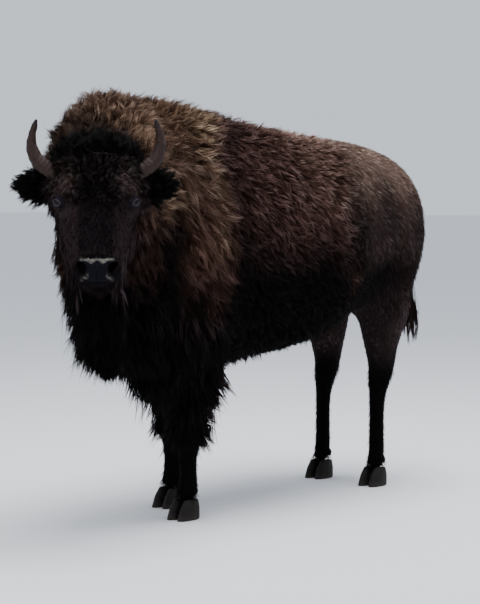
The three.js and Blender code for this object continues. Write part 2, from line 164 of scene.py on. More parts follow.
# ---- Regions of the coat ----
# A bison in winter wears a woolly cape over the front half, a dark crown, a beard, and chaps on
# its forelegs, with short hair behind. Each region is a share from 0 to 1 at a point, with soft
# edges, and the depth of coat, its markings and the lie of its hair are all read from them.

BEARD_XY = np.array(middle("beard"))[:2]
TRUNK_MIDDLE_X = 0.3  # the legs before it are the forelegs
CAPE_EDGE_X = -0.312  # where the cape ends on the flank


def regions(points):
    """The share of each region of the coat at each point, and the point's places on the body."""
    down_face, left, out = face_place(points)
    x, z = points[:, 0], points[:, 2]
    side = side_of_trunk(points)
    wide = np.abs(left)

    # the head: crown, forehead, face, ears, muzzle, jaw and chin, set out on its own frame
    ruff = ramp(out, -0.095, -0.145) * ramp(wide, 0.105, 0.140) * ramp(down_face, 0.13, 0.05)
    head = ramp(down_face + 0.3 * out, -0.20, -0.145) * ramp(out, -0.28, -0.20) * (1 - ruff)
    ear = ramp(wide, 0.150, 0.185) * head * ramp(down_face, 0.06, 0.0)
    bonnet = head * ramp(down_face, -0.085, -0.125) * ramp(out, -0.045, 0.02) * (1 - ear)
    hairline = down_face + 0.014 * waver(points, 0.05, 11)
    forehead = head * ramp(hairline, 0.075, -0.045) * ramp(out, -0.06, 0.0) * (1 - ear) * (1 - bonnet)
    muzzle = head * ramp(down_face, 0.205, 0.245)
    jaw = head * ramp(out, -0.10, -0.17) * (1 - muzzle)
    face = head * (1 - bonnet) * (1 - forehead) * (1 - ear) * (1 - muzzle)
    chin = jaw * ramp(down_face, 0.06, 0.18) * ramp(z, 1.06, 0.96)
    brow = head * mound(wide, 0.112, 0.034) * mound(down_face, -0.030, 0.021) * ramp(out, -0.09, -0.05)
    brow = np.clip(1.5 * brow, 0, 1)
    beard = ramp(z, 0.905, 0.875) * ramp(np.hypot(*(points[:, :2] - BEARD_XY).T), 0.155, 0.125)
    beard_root = beard * ramp(z, 0.78, 0.88)

    # the front: cape with its crest over the hump, chest, and the long hair under it
    edge = CAPE_EDGE_X + 0.19 * ramp(z, 1.36, 1.54) - 0.03 * ramp(z, 0.95, 0.75)
    edge = edge + 0.018 * waver(points, 0.22, 17)
    cape = ramp(x, edge + 0.05, edge - 0.05) * (1 - head)
    crest = cape * ramp(z, 1.30, 1.48)
    off_cheek = cape * ramp(left, -0.10, -0.14) * ramp(z, 1.27, 1.19) * ramp(x, -0.60, -0.70)
    chest = ramp(x, -0.30, -0.42) * ramp(z, 1.02, 0.80) * (1 - head)
    brisket = chest * ramp(z, 0.76, 0.64)

    # the legs: chaps down to the knees, and short hair from there to the hooves
    near_left = points[:, 1] < MIDDLE_Y
    fore_x = np.where(near_left, FEET["fore_left"].x, FEET["fore_right"].x)
    fore_y = np.where(near_left, FEET["fore_left"].y, FEET["fore_right"].y)
    chaps = ramp(np.abs(x - fore_x), 0.20, 0.15) * ramp(np.abs(points[:, 1] - fore_y), 0.15, 0.11)
    chaps = chaps * ramp(z, 0.62, 0.54) * ramp(z, 0.30, 0.36)
    fore, hind = ramp(x, TRUNK_MIDDLE_X, 0.2), ramp(x, TRUNK_MIDDLE_X, 0.4)
    lower = ramp(z, 0.36, 0.30) * fore + ramp(z, 0.52, 0.42) * hind
    coronet = lower * ramp(z, 0.135, 0.105)

    # the back and hindquarters
    top_line = ramp(z, 1.40, 1.46) * ramp(x, -0.12, -0.02) * ramp(x, 0.50, 0.35)
    haunch = x - 0.41 - 0.16 * ramp(z, 1.15, 1.42) + 0.025 * waver(points, 0.20, 19)
    rump = ramp(haunch, -0.10, 0.10)
    thigh = ramp(x, 0.55, 0.68) * ramp(z, 1.0, 0.8) * (1 - lower)
    belly = ramp(z, 0.80, 0.68) * (1 - cape) * (1 - thigh) * (1 - lower)
    tail = ramp(x, 1.075, 1.095) * ramp(side, 0.16, 0.13) * ramp(z, 1.30, 1.26)

    return dict(
        x=x, z=z, side=side, left=left, out=out, down_face=down_face, edge=edge, fore_x=fore_x,
        head=head, ear=ear, bonnet=bonnet, forehead=forehead, muzzle=muzzle, jaw=jaw, face=face,
        chin=chin, brow=brow, beard=beard, beard_root=beard_root, cape=cape, crest=crest,
        off_cheek=off_cheek, chest=chest, brisket=brisket, chaps=chaps, lower=lower,
        coronet=coronet, top_line=top_line, rump=rump, thigh=thigh, belly=belly, tail=tail)


# ---- Flesh ----
# One skin over head, neck, trunk, tail, ears and legs. It is drawn together from the solids of
# the flesh, evened, sunk by the depth of the coat that grows on it, and then modelled
# round the muzzle, mouth, brows and eyes.

FLESH = [
    "head", "neck", "forequarters", "barrel", "hindquarters", "ear_left", "ear_right", "beard", "tail",
    "foreleg_left_upper", "foreleg_left_lower", "foreleg_right_upper", "foreleg_right_lower",
    "hindleg_left_upper", "hindleg_left_lower", "hindleg_right_upper", "hindleg_right_lower",
]
SKIN_GRAIN = 0.0125  # the size of the skin's faces over the trunk
HORN_ROOT = 0.036  # radius of the boss that each horn grows from
BOSS_PLACE = (-0.036, 0.124, 0.094)  # of a boss on the head's own frame: forward, to the side, up
SOCKET_PLACE = (-0.004, 0.124, 0.0)  # of the flesh behind each eye
SOCKET_WALL = 0.003
EYE_RADIUS = (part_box("eye_left")[1].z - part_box("eye_left")[0].z) / 2


def alone(*objects):
    """Selects only these, with the first one active."""
    bpy.ops.object.select_all(action="DESELECT")
    for each in objects:
        each.select_set(True)
    bpy.context.view_layer.objects.active = objects[0]


def copy_of(node, name):
    """A new object with the node's shape, its loose triangles drawn together."""
    made = bpy.data.objects.new(name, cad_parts[node].data.copy())
    bpy.context.collection.objects.link(made)
    alone(made)
    made.data.materials.clear()
    bpy.ops.object.mode_set(mode="EDIT")
    bpy.ops.mesh.select_all(action="SELECT")
    bpy.ops.mesh.remove_doubles(threshold=1e-5)
    bpy.ops.object.mode_set(mode="OBJECT")
    return made


def modified(thing, kind, **settings):
    """Adds a modifier with these settings and applies it."""
    alone(thing)
    modifier = thing.modifiers.new(kind.lower(), kind)
    for name, value in settings.items():
        setattr(modifier, name, value)
    bpy.ops.object.modifier_apply(modifier=modifier.name)


def points_of(thing):
    flat = np.empty(len(thing.data.vertices) * 3, np.float32)
    thing.data.vertices.foreach_get("co", flat)
    return flat.reshape(-1, 3).astype(float)


def put_points(thing, points):
    thing.data.vertices.foreach_set("co", points.astype(np.float32).ravel())
    thing.data.update()


def normals_of(thing):
    flat = np.empty(len(thing.data.vertices) * 3, np.float32)
    thing.data.vertex_normals.foreach_get("vector", flat)
    return flat.reshape(-1, 3).astype(float)


def edges_of(thing):
    flat = np.empty(len(thing.data.edges) * 2, np.int32)
    thing.data.edges.foreach_get("vertices", flat)
    return flat.reshape(-1, 2)


def evened(thing, rounds, weight):
    """Draws each point towards the middle of its neighbours, by its own weight."""
    points = points_of(thing)
    one, two = edges_of(thing).T
    count = len(points)
    near = np.maximum(np.bincount(one, minlength=count) + np.bincount(two, minlength=count), 1)
    for _ in range(rounds):
        for axis in range(3):
            line = points[:, axis]
            total = np.bincount(one, line[two], count) + np.bincount(two, line[one], count)
            points[:, axis] = line + weight * (total / near - line)
    put_points(thing, points)


parts = [copy_of(node, "flesh_" + node) for node in FLESH]
for side in (1, -1):
    for radius, (forth, aside, rise) in (
            (HORN_ROOT, BOSS_PLACE), (EYE_RADIUS + SOCKET_WALL, SOCKET_PLACE)):
        bpy.ops.mesh.primitive_ico_sphere_add(
            subdivisions=3, radius=radius,
            location=BETWEEN_EYES + side * aside * LEFT + forth * FORWARD + rise * UP)
        parts.append(bpy.context.object)
alone(*parts)
bpy.ops.object.join()
skin = bpy.context.object
skin.name = "skin"
modified(skin, "REMESH", mode="VOXEL", voxel_size=SKIN_GRAIN)

# the facets of the solids are smoothed away, least on the thin lower legs and the head
grip = regions(points_of(skin))
nape = np.clip(4 * grip["head"] * (1 - grip["head"]), 0, 1)
slack = np.clip((1 - 0.85 * grip["lower"]) * (1 - 0.7 * grip["head"]) + 0.8 * nape, 0, 1)
evened(skin, 34, 0.5 * slack)

# How the hair grows in each region, laid on in this order: the depth of the coat from its tips
# down to the skin, the length and width of a lock in metres, and how far it stands up, in degrees.
GROWTH = [
    ("top_line", 0.022, 0.058, 0.0042, 34),
    ("rump", 0.005, 0.026, 0.0032, 15),
    ("belly", 0.016, 0.050, 0.0046, 20),
    ("thigh", 0.006, 0.028, 0.0034, 16),
    ("cape", 0.029, 0.088, 0.0046, 24),
    ("crest", 0.038, 0.062, 0.0042, 40),
    ("off_cheek", 0.022, 0.045, 0.0040, 8),
    ("chest", 0.032, 0.105, 0.0050, 22),
    ("brisket", 0.055, 0.115, 0.0052, 16),
    ("chaps", 0.030, 0.098, 0.0050, 21),
    ("lower", 0.005, 0.022, 0.0030, 15),
    ("coronet", 0.004, 0.040, 0.0032, 26),
    ("head", 0.006, 0.014, 0.0022, 18),
    ("forehead", 0.017, 0.032, 0.0036, 34),
    ("brow", 0.007, 0.018, 0.0028, 20),
    ("jaw", 0.014, 0.046, 0.0040, 14),
    ("chin", 0.018, 0.078, 0.0046, 7),
    ("bonnet", 0.036, 0.050, 0.0040, 54),
    ("muzzle", 0.0012, 0.008, 0.0020, 16),
    ("ear", 0.012, 0.046, 0.0036, 44),
    ("beard", 0.034, 0.120, 0.0050, 8),
    ("beard_root", 0.025, 0.105, 0.0050, 6),
    ("tail", 0.005, 0.026, 0.0036, 12),
]
FLANK_GROWTH = (0.011, 0.048, 0.0040, 20)  # where no region holds


def from_eyes(points):
    """The distance to the middle of the nearer eye."""
    return np.minimum(np.linalg.norm(points - EYE_LEFT, axis=1), np.linalg.norm(points - EYE_RIGHT, axis=1))


def growth(points):
    """The depth of the coat and the length, width and lift of its locks, one row for each point."""
    at = regions(points)
    rows = np.tile(np.array(FLANK_GROWTH), (len(points), 1))
    for region, *sizes in GROWTH:
        rows = rows + at[region][:, None] * (np.array(sizes) - rows)
    clear = ramp(from_eyes(points), 0.028, 0.075)[:, None]
    rows[:, 1:3] *= np.array([0.36, 0.5]) + np.array([0.64, 0.5]) * clear
    return rows


# how low the tips of the coat hang along the trunk, so that no lock grows out past them
at = points_of(skin)
UNDERSIDE_X = np.arange(-0.90, 0.90, 0.05)
on_middle = (np.abs(at[:, 1] - MIDDLE_Y) < 0.07) | (at[:, 0] < -0.55)
below = at[(regions(at)["beard"] < 0.1) & (at[:, 2] > 0.45) & on_middle]
UNDERSIDE_Z = np.array([below[np.abs(below[:, 0] - x) < 0.045, 2].min() for x in UNDERSIDE_X])

SINK_STEPS = 6
for _ in range(SINK_STEPS):
    where = points_of(skin)
    normals = normals_of(skin)
    put_points(skin, where - normals * (growth(where)[:, 0] / SINK_STEPS)[:, None])
    evened(skin, 1, np.full(len(where), 0.35))


def refined(thing, chosen):
    """Cuts the faces whose middles are chosen in four."""
    alone(thing)
    middles = np.empty(len(thing.data.polygons) * 3, np.float32)
    thing.data.polygons.foreach_get("center", middles)
    bpy.ops.object.mode_set(mode="EDIT")
    bpy.ops.mesh.select_mode(type="FACE")
    bpy.ops.mesh.select_all(action="DESELECT")
    bpy.ops.object.mode_set(mode="OBJECT")
    thing.data.polygons.foreach_set("select", chosen(middles.reshape(-1, 3).astype(float)))
    bpy.ops.object.mode_set(mode="EDIT")
    bpy.ops.mesh.subdivide(number_cuts=1)
    bpy.ops.object.mode_set(mode="OBJECT")


refined(skin, lambda at: (regions(at)["head"] > 0.5) & (regions(at)["ear"] < 0.5))
evened(skin, 3, 0.5 * (regions(points_of(skin))["head"] > 0.3))
refined(skin, lambda at: (regions(at)["muzzle"] > 0.02) | (from_eyes(at) < 0.055))
evened(skin, 3, 0.5 * ((regions(points_of(skin))["muzzle"] > 0) | (from_eyes(points_of(skin)) < 0.06)))

# The muzzle: an m-shaped rim over two comma-shaped nostrils, a flat bare pad between them with a
# groove down its middle, an overhanging upper lip, and the line of the mouth round to its corners.
NOSTRIL_UP = -0.218
NOSTRIL_APART = 0.050
MOUTH_UP = -0.276


def nostril_place(left, up):
    """0 at the middle of a nostril and 1 on its edge, and how far out from its middle a point is."""
    lean = math.radians(54)
    away = np.abs(left) - NOSTRIL_APART
    rise = up - NOSTRIL_UP
    long_way = away * math.cos(lean) + rise * math.sin(lean)
    across = -away * math.sin(lean) + rise * math.cos(lean)
    across = across + 12 * long_way ** 2
    return np.hypot(long_way / 0.0235, across / 0.0150), away


def mouth_line(down_face):
    """How far out of the forehead's plane the mouth lies, at each place down the face."""
    return -0.050 - 0.16 * (0.308 - down_face)


skin_points = points_of(skin)
skin_normals = normals_of(skin)
forward, left, up = head_place(skin_points)
down_face, _, out = face_place(skin_points)
front = ramp(forward, 0.085, 0.115) * ramp(np.abs(left), 0.11, 0.085)
ring, away = nostril_place(left, up)

# the rim over the nostrils, their raised wings, the roll of the upper lip, and the groove
rim_up = -0.192 - 0.008 * mound(np.abs(left), 0.019, 0.011)
swell = 0.0045 * front * mound(up, rim_up, 0.0075) * ramp(np.abs(left), 0.075, 0.06)
swell += 0.0050 * front * mound(ring, 1.45, 0.34) * ramp(away, -0.02, 0.004)
swell += 0.0035 * front * mound(up, MOUTH_UP + 0.016, 0.011) * ramp(np.abs(left), 0.075, 0.05)
groove = mound(left, 0, 0.0028) * ramp(up, -0.222, -0.236) * ramp(up, MOUTH_UP - 0.002, MOUTH_UP + 0.008)
swell -= 0.0030 * front * groove

# the slit of the mouth between two lips
mouth_gap = (out - mouth_line(down_face)) / 0.0042
along_mouth = ramp(down_face, 0.185, 0.225)
swell -= 0.0105 * along_mouth * np.exp(-mouth_gap ** 2)
swell += 0.0045 * along_mouth * mound(out, mouth_line(down_face) + 0.013, 0.008)
swell += 0.0030 * along_mouth * mound(out, mouth_line(down_face) - 0.014, 0.008)

# the cheekbone, the hollow below it, the ridge of the brow, and the hollow over the eye
cheek = np.abs(left) > 0.05
swell += 0.006 * cheek * mound(down_face, 0.05, 0.05) * mound(out, -0.02, 0.016)
swell -= 0.005 * cheek * mound(down_face, 0.12, 0.05) * mound(out, -0.045, 0.025)
swell += 0.009 * mound(np.abs(left), 0.112, 0.030) * mound(down_face, -0.032, 0.018)
swell -= 0.005 * mound(np.abs(left), 0.106, 0.026) * mound(down_face, -0.003, 0.009)

# the nostrils go back into the muzzle, each with a slit that runs up and out of it
nostril_slit = ramp(np.abs(left), 0.052, 0.058) * ramp(np.abs(left), 0.078, 0.070) * mound(up, -0.194, 0.0035)
hollow = 0.034 * front * ramp(ring, 1.02, 0.6) + 0.007 * front * nostril_slit
put_points(skin, skin_points + skin_normals * swell[:, None] - hollow[:, None] * FORWARD)

# The eyes look out and forward. Two lids wrap each ball and leave a round oval opening whose
# inner corner is the lower one.
EYE_OUT, EYE_FORWARD, EYE_DOWN = 0.62, 0.80, 0.14  # the way that an eye looks
SLIT_FORWARD, SLIT_DOWN = 0.93, 0.26  # the line from the outer corner to the inner one
LID_RADIUS = EYE_RADIUS + 0.0026
SLIT_HALF = 0.0150  # half the width of the opening
SLIT_OPEN = 0.0112  # half its height


def eye_axes(side):
    """The way that an eye looks, the line between its corners, and the line up across that."""
    axis = unit(side * EYE_OUT * LEFT + EYE_FORWARD * FORWARD - EYE_DOWN * UP)
    slit = SLIT_FORWARD * FORWARD - SLIT_DOWN * UP
    slit = unit(slit - dots(slit, axis) * axis)
    rise = np.cross(axis, slit)
    return axis, slit, rise if rise @ UP > 0 else -rise


def slit_edge(along):
    """Half the height of the opening at a place along it."""
    return SLIT_OPEN * np.clip(1 - (along / SLIT_HALF) ** 2, 0, 1) ** 0.55


for centre, side in ((EYE_LEFT, 1), (EYE_RIGHT, -1)):
    axis, slit, rise = eye_axes(side)
    at = points_of(skin)
    reach = at - centre
    height, along, above = dots(reach, axis), dots(reach, slit), dots(reach, rise)
    spread = np.hypot(along, above)
    near = (np.linalg.norm(reach, axis=1) < 0.06) & (height > -0.012)
    lid = np.sqrt(np.clip(LID_RADIUS ** 2 - spread ** 2, 0, None))
    wrap = ramp(spread, 0.033, 0.017) * near
    crease = 0.0022 * mound(spread, 0.0275, 0.0022) * near * ramp(above, -0.004, 0.006)
    crease = crease + 0.0016 * mound(spread, 0.034, 0.0024) * near
    opened = (np.abs(above) < slit_edge(along)) & (spread < SLIT_HALF) & near
    raised = height + wrap * (lid - height) - crease
    raised = np.where(opened, -0.004, raised)
    put_points(skin, at + (raised - height)[:, None] * axis)
alone(skin)
bpy.ops.object.shade_smooth()
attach(skin, "root")
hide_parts(*FLESH)

# ---- Markings ----
# Golden brown over the hump and crest, red-brown on the shoulders and flanks, and black below, on
# the head, beard and legs. Skin and coat are both coloured by this one rule of place, which also
# holds painted light and shade: a painted sheen over the back and jaw, painted highlights on the
# nose and the cape's edge, and painted shade and shadow under the brows, on the throat and on the flank.

COLOURS = {
    "gold": (0.069, 0.036, 0.021),
    "crest": (0.084, 0.046, 0.029),
    "honey": (0.165, 0.100, 0.060),
    "amber": (0.092, 0.050, 0.034),
    "russet": (0.068, 0.032, 0.022),
    "brown": (0.063, 0.031, 0.025),
    "dun": (0.110, 0.058, 0.044),
    "umber": (0.018, 0.0085, 0.0075),
    "black": (0.0021, 0.0016, 0.0015),
    # a painted sheen: the pale top of the back and rump, where the light from above falls
    "sheen_on_back": (0.300, 0.188, 0.142),
    "rump": (0.056, 0.034, 0.030),
    "gaskin": (0.060, 0.036, 0.035),
    "face": (0.028, 0.017, 0.018),
    "brow": (0.074, 0.046, 0.041),
    "bridge": (0.0090, 0.0060, 0.0070),
    "forehead": (0.0090, 0.0062, 0.0058),
    "temple": (0.018, 0.012, 0.0105),
    "muzzle": (0.008, 0.006, 0.008),
    "pad": (0.0020, 0.0018, 0.0045),
    # pale grey: a painted highlight of the wet skin on the rim over the nostrils, also laid on the streaks
    # under them
    "rim": (0.150, 0.140, 0.125),
    "lid": (0.015, 0.012, 0.018),
}


def blended(colour, share, name):
    return colour + share[:, None] * (np.array(COLOURS[name]) - colour)


def trunk_markings(points, at, z):
    """Black below and brown up the flanks, with a painted sheen over the loins, painted shadows in the folds
    and behind the cape, and a painted highlight on one fold.
    """
    x = at["x"]
    colour = np.tile(np.array(COLOURS["black"]), (len(points), 1))
    belly_line = z - 0.05 * ramp(x, 0.15, -0.05)
    colour = blended(colour, ramp(belly_line, 0.86, 0.98), "umber")
    colour = blended(colour, 0.8 * ramp(x, 0.64, 0.82) * ramp(z, 0.56, 0.78), "umber")
    colour = blended(colour, ramp(belly_line, 0.96, 1.12), "brown")
    colour = blended(colour, 0.9 * mound(x, 0.35, 0.22) * ramp(z, 1.05, 1.2), "dun")
    # a painted sheen over the loins and the top of the rump, pale where the light from above falls on them
    loins_sheen = ramp(z, 1.36, 1.46) * ramp(at["side"], 0.26, 0.14) * ramp(x, 0.20, 0.60)
    colour = blended(colour, loins_sheen, "sheen_on_back")
    colour = blended(colour, at["rump"] * ramp(z, 0.88, 1.04), "rump")
    colour = blended(colour, 0.92 * at["rump"] * ramp(z, 1.10, 1.36), "sheen_on_back")
    # a painted reddish highlight on the skin fold in front of the thigh
    colour = blended(colour, 0.6 * mound(x, 0.44, 0.03) * mound(z, 0.88, 0.05), "russet")
    gaskin = at["thigh"] * ramp(z, 0.90, 0.68) * ramp(z, 0.46, 0.60) * (0.4 + 0.6 * ramp(x, 0.70, 0.84))
    colour = blended(colour, gaskin, "gaskin")
    # painted shade in the dip before the haunch, and a painted shadow on the flank behind the cape's edge
    fold = 0.60 * mound(x, 0.475, 0.075) * ramp(z, 0.88, 0.98) * ramp(z, 1.38, 1.28)
    shadow = 0.40 * mound(x, at["edge"] + 0.11, 0.06) * ramp(z, 0.9, 1.1)
    mottle = 0.20 * at["rump"] * waver(points, 0.17, 13)
    colour = colour * ((1 - fold) * (1 - shadow) * (1 + mottle))[:, None]
    back_of_leg = at["chaps"] * ramp(x - at["fore_x"], 0.02, 0.09)
    return blended(colour, 0.6 * back_of_leg, "umber")


def cape_markings(points, at, z):
    """From black on the forelegs up through russet to gold on the hump, and dark by the neck, with a painted
    highlight along its back edge and painted shade on the throat.
    """
    x = at["x"]
    cape = np.tile(np.array(COLOURS["black"]), (len(points), 1))
    cape = blended(cape, ramp(z, 0.72, 0.92), "umber")
    cape = blended(cape, ramp(z, 0.86, 1.06), "russet")
    cape = blended(cape, ramp(z, 1.14, 1.30), "amber")
    cape = blended(cape, ramp(z, 1.34, 1.46), "gold")
    cape = blended(cape, ramp(z, 1.34, 1.44) * ramp(x, -0.42, -0.24), "honey")
    cape = blended(cape, ramp(z, 1.42, 1.49) * ramp(x, -0.50, -0.60), "crest")
    cape = cape * ((1 - 0.70 * ramp(x, -0.79, -0.90)) * (1 - 0.30 * ramp(z, 1.50, 1.56)))[:, None]
    # a painted highlight along the cape's back edge, honey above and russet lower down
    cape_edge_highlight = mound(x, at["edge"] - 0.015, 0.055)
    cape = blended(cape, 0.5 * cape_edge_highlight * ramp(z, 0.92, 1.1), "honey")
    cape = blended(cape, 0.4 * cape_edge_highlight * ramp(z, 0.78, 0.88) * ramp(z, 1.0, 0.92), "russet")
    behind_ear = mound(x, -0.62, 0.10) * mound(z, 1.20, 0.06)
    cape = blended(cape, 0.7 * behind_ear, "honey")
    behind_bonnet = ramp(at["down_face"] + 0.3 * at["out"], -0.29, -0.21) * ramp(at["out"], -0.12, -0.02)
    cape = blended(cape, 0.55 * behind_bonnet, "umber")
    cape = cape * (1 - 0.68 * ramp(x, -0.44, -0.58) * ramp(z, 1.22, 1.08))[:, None]
    # painted shade: a black band down each side of the throat behind the cheeks
    throat_shade = mound(np.abs(at["left"]), 0.250, 0.055) * ramp(z, 1.19, 1.10) * ramp(x, -0.48, -0.54)
    cape = blended(cape, 0.88 * throat_shade, "black")
    return blended(cape, 0.9 * at["off_cheek"], "black")


def head_markings(colour, at, z):
    """A dark face, blacker down its middle, with brown brows and painted shade under them, black crown, ears
    and beard, and a painted sheen on the sides of the jaw and beard.
    """
    wide = np.abs(at["left"])
    colour = blended(colour, at["head"], "face")
    colour = blended(colour, at["head"] * ramp(wide, 0.085, 0.045) * ramp(at["out"], -0.03, 0.0), "bridge")
    colour = blended(colour, at["forehead"], "forehead")
    colour = blended(colour, at["forehead"] * ramp(wide, 0.055, 0.095), "temple")
    colour = blended(colour, at["brow"], "brow")
    # painted shade in the hollow under each brow
    shade_under_brow = at["head"] * mound(wide, 0.104, 0.026) * mound(at["down_face"], -0.003, 0.009)
    colour = colour * (1 - 0.6 * shade_under_brow)[:, None]
    colour = blended(colour, np.clip(at["bonnet"] + at["ear"] + at["beard"], 0, 1), "black")
    colour = colour * (1 + 0.35 * at["chin"])[:, None]
    side_of_beard = at["beard"] * mound(wide, 0.104, 0.034) * ramp(z, 0.76, 0.86)
    colour = blended(colour, 0.9 * side_of_beard, "face")
    under_jaw = np.maximum(ramp(wide, 0.095, 0.060), ramp(z, 0.84, 0.76))
    colour = blended(colour, at["jaw"] * ramp(at["down_face"], 0.0, 0.1) * under_jaw, "black")
    lips = at["muzzle"] * ramp(at["down_face"], 0.22, 0.26) * ramp(at["out"], -0.16, -0.11)
    colour = blended(colour, 0.8 * lips, "muzzle")
    # the sides of the jaw and beard lightened further: brown hair, with a painted sheen on it
    side_of_jaw = mound(wide, 0.108, 0.034) * at["head"] * ramp(at["out"], -0.06, -0.10)
    colour = colour * (1 + 0.3 * side_of_jaw * ramp(at["down_face"], 0.08, 0.16))[:, None]
    colour = colour * (1 + 0.6 * side_of_beard)[:, None]
    lower_lip = at["head"] * ramp(at["down_face"], 0.285, 0.300) * ramp(wide, 0.060, 0.040)
    return blended(colour, 0.6 * lower_lip, "face")


def markings(points):
    """The colour of the tips of the hair that grows at each point."""
    at = regions(points)
    z = at["z"] + 0.035 * waver(points, 0.35, 3)  # so that no edge runs dead level
    colour = trunk_markings(points, at, z)
    colour = colour + at["cape"][:, None] * (cape_markings(points, at, z) - colour)
    colour = blended(colour, 0.85 * at["chest"] * ramp(at["x"], -0.50, -0.62), "black")
    return head_markings(colour, at, z)


def bare_skin(points):
    """1 on the hairless pad of the nose, its rims and the lips."""
    forward, left, up = head_place(points)
    down_face, _, out = face_place(points)
    half = 0.030 + 0.036 * ramp(up, -0.250, -0.215)
    pad = ramp(np.abs(left), half + 0.008, half - 0.006) * ramp(up, MOUTH_UP - 0.004, MOUTH_UP + 0.004)
    pad = pad * ramp(up, -0.184, -0.192) * ramp(forward, 0.085, 0.105)
    lips = mound(out, mouth_line(down_face), 0.008) * ramp(down_face, 0.2, 0.24)
    return np.clip(np.maximum(pad, lips), 0, 1)


def rim_highlight_and_streaks(points):
    """1 on the painted highlight along the rim over the nostrils, which dips twice like an m, and on a pale
    streak under each.
    """
    forward, left, up = head_place(points)
    wide = np.abs(left)
    lobes = np.sin(math.pi * np.clip(wide / 0.040, 0, 1)) ** 2
    rim_low = -0.196 - 0.0105 * lobes - 0.002 * ramp(wide, 0.040, 0.058)
    rim_top = -0.1885 - 0.0022 * lobes + 0.0022 * waver(points, 0.012, 21)
    rim = ramp(up, rim_low - 0.002, rim_low + 0.002) * ramp(up, rim_top + 0.002, rim_top - 0.002)
    rim = rim * ramp(wide, 0.062, 0.051) * (0.8 + 0.3 * waver(points, 0.006, 22))
    streak = mound(up + 0.55 * wide, -0.2310, 0.0075) * ramp(wide, 0.026, 0.036) * ramp(wide, 0.062, 0.050)
    patchy = 0.75 + 0.4 * waver(points, 0.018, 9)
    return np.clip(rim + 0.7 * streak, 0, 1) * ramp(forward, 0.085, 0.105) * patchy


def lid_share(points):
    """1 on the bare lids round each eye."""
    share = np.zeros(len(points))
    for centre, side in ((EYE_LEFT, 1), (EYE_RIGHT, -1)):
        axis, slit, rise = eye_axes(side)
        reach = points - centre
        spread = np.hypot(dots(reach, slit), 1.1 * dots(reach, rise))
        share += ramp(spread, 0.0275, 0.0225) * (dots(reach, axis) > 0) * (from_eyes(points) < 0.05)
    return share


class Value:
    """A shader socket that arithmetic can be written on. Each operation adds a Math node."""

    def __init__(self, finish, socket):
        self.finish = finish
        self.socket = socket

    def maths(self, operation, one, two):
        return self.finish.node("Math", {"operation": operation}, {0: one, 1: two})

    def __add__(self, other):
        return self.maths("ADD", self, other)

    def __radd__(self, other):
        return self.maths("ADD", other, self)

    def __sub__(self, other):
        return self.maths("SUBTRACT", self, other)

    def __rsub__(self, other):
        return self.maths("SUBTRACT", other, self)

    def __mul__(self, other):
        return self.maths("MULTIPLY", self, other)

    def __rmul__(self, other):
        return self.maths("MULTIPLY", other, self)


class Finish:
    """One material, with the nodes that its shader is written in."""

    def __init__(self, name, **constants):
        self.material = bpy.data.materials.new(name)
        self.material.use_nodes = True
        self.shader = self.material.node_tree.nodes["Principled BSDF"]
        for socket, value in constants.items():
            self.shader.inputs[socket.replace("_", " ")].default_value = value

    def node(self, kind, settings=None, sockets=None, out=0):
        made = self.material.node_tree.nodes.new("ShaderNode" + kind)
        for name, value in (settings or {}).items():
            if name == "stops":
                for stop, (place, colour) in zip(made.color_ramp.elements, value):
                    stop.position = place
                    stop.color = (*colour, 1)
            else:
                setattr(made, name, value)
        for name, value in (sockets or {}).items():
            self.feed(made.inputs[name], value)
        return Value(self, made.outputs[out])

    def feed(self, socket, value):
        if isinstance(value, Value):
            self.material.node_tree.links.new(value.socket, socket)
        else:
            socket.default_value = value

    def set(self, **sockets):
        for name, value in sockets.items():
            self.feed(self.shader.inputs[name.replace("_", " ")], value)

    def attribute(self, name, out="Color"):
        return self.node("Attribute", {"attribute_name": name}, out=out)

    def place(self):
        return self.node("TexCoord", out="Object")

    def noise(self, vector, scale, detail=3.0, distortion=0.0):
        return self.node("TexNoise", None, {
            "Vector": vector, "Scale": scale, "Detail": detail, "Distortion": distortion})

    def mixed(self, share, one, two):
        return self.node("Mix", {"data_type": "RGBA"}, {"Factor": share, "A": one, "B": two}, "Result")

    def shaded(self, colour, value):
        """The colour times a value."""
        return self.node("VectorMath", {"operation": "SCALE"}, {0: colour, "Scale": value})

    def bump(self, height, distance):
        return self.node("Bump", None, {"Height": height, "Distance": distance, "Strength": 1.0})


def write_colour(thing, name, colour):
    layer = thing.data.color_attributes.new(name, "FLOAT_COLOR", "POINT")
    layer.data.foreach_set("color", np.c_[colour, np.ones(len(colour))].astype(np.float32).ravel())


def write_value(thing, name, value):
    thing.data.attributes.new(name, "FLOAT", "POINT").data.foreach_set("value", value.astype(np.float32))


ROOT_SHADE = 0.28  # hair is darker down at the skin
at = points_of(skin)
bare = bare_skin(at)
forward, left, up = head_place(at)
ring, _ = nostril_place(left, up)
inside_nose = ramp(ring, 1.05, 0.8) * ramp(forward, 0.08, 0.1)
shade = ROOT_SHADE + (0.9 - ROOT_SHADE) * regions(at)["face"]
skin_colour = markings(at) * shade[:, None]
skin_colour = blended(skin_colour, bare, "pad")
# a painted highlight of wet skin along the rim over the nostrils, and pale streaks under them, in one pale
# grey
skin_colour = blended(skin_colour, np.clip(rim_highlight_and_streaks(at), 0, 1), "rim")
skin_colour = blended(skin_colour, inside_nose, "black")
skin_colour = blended(skin_colour, lid_share(at), "lid")
write_colour(skin, "markings", skin_colour)
write_value(skin, "bare", bare * (1 - inside_nose))

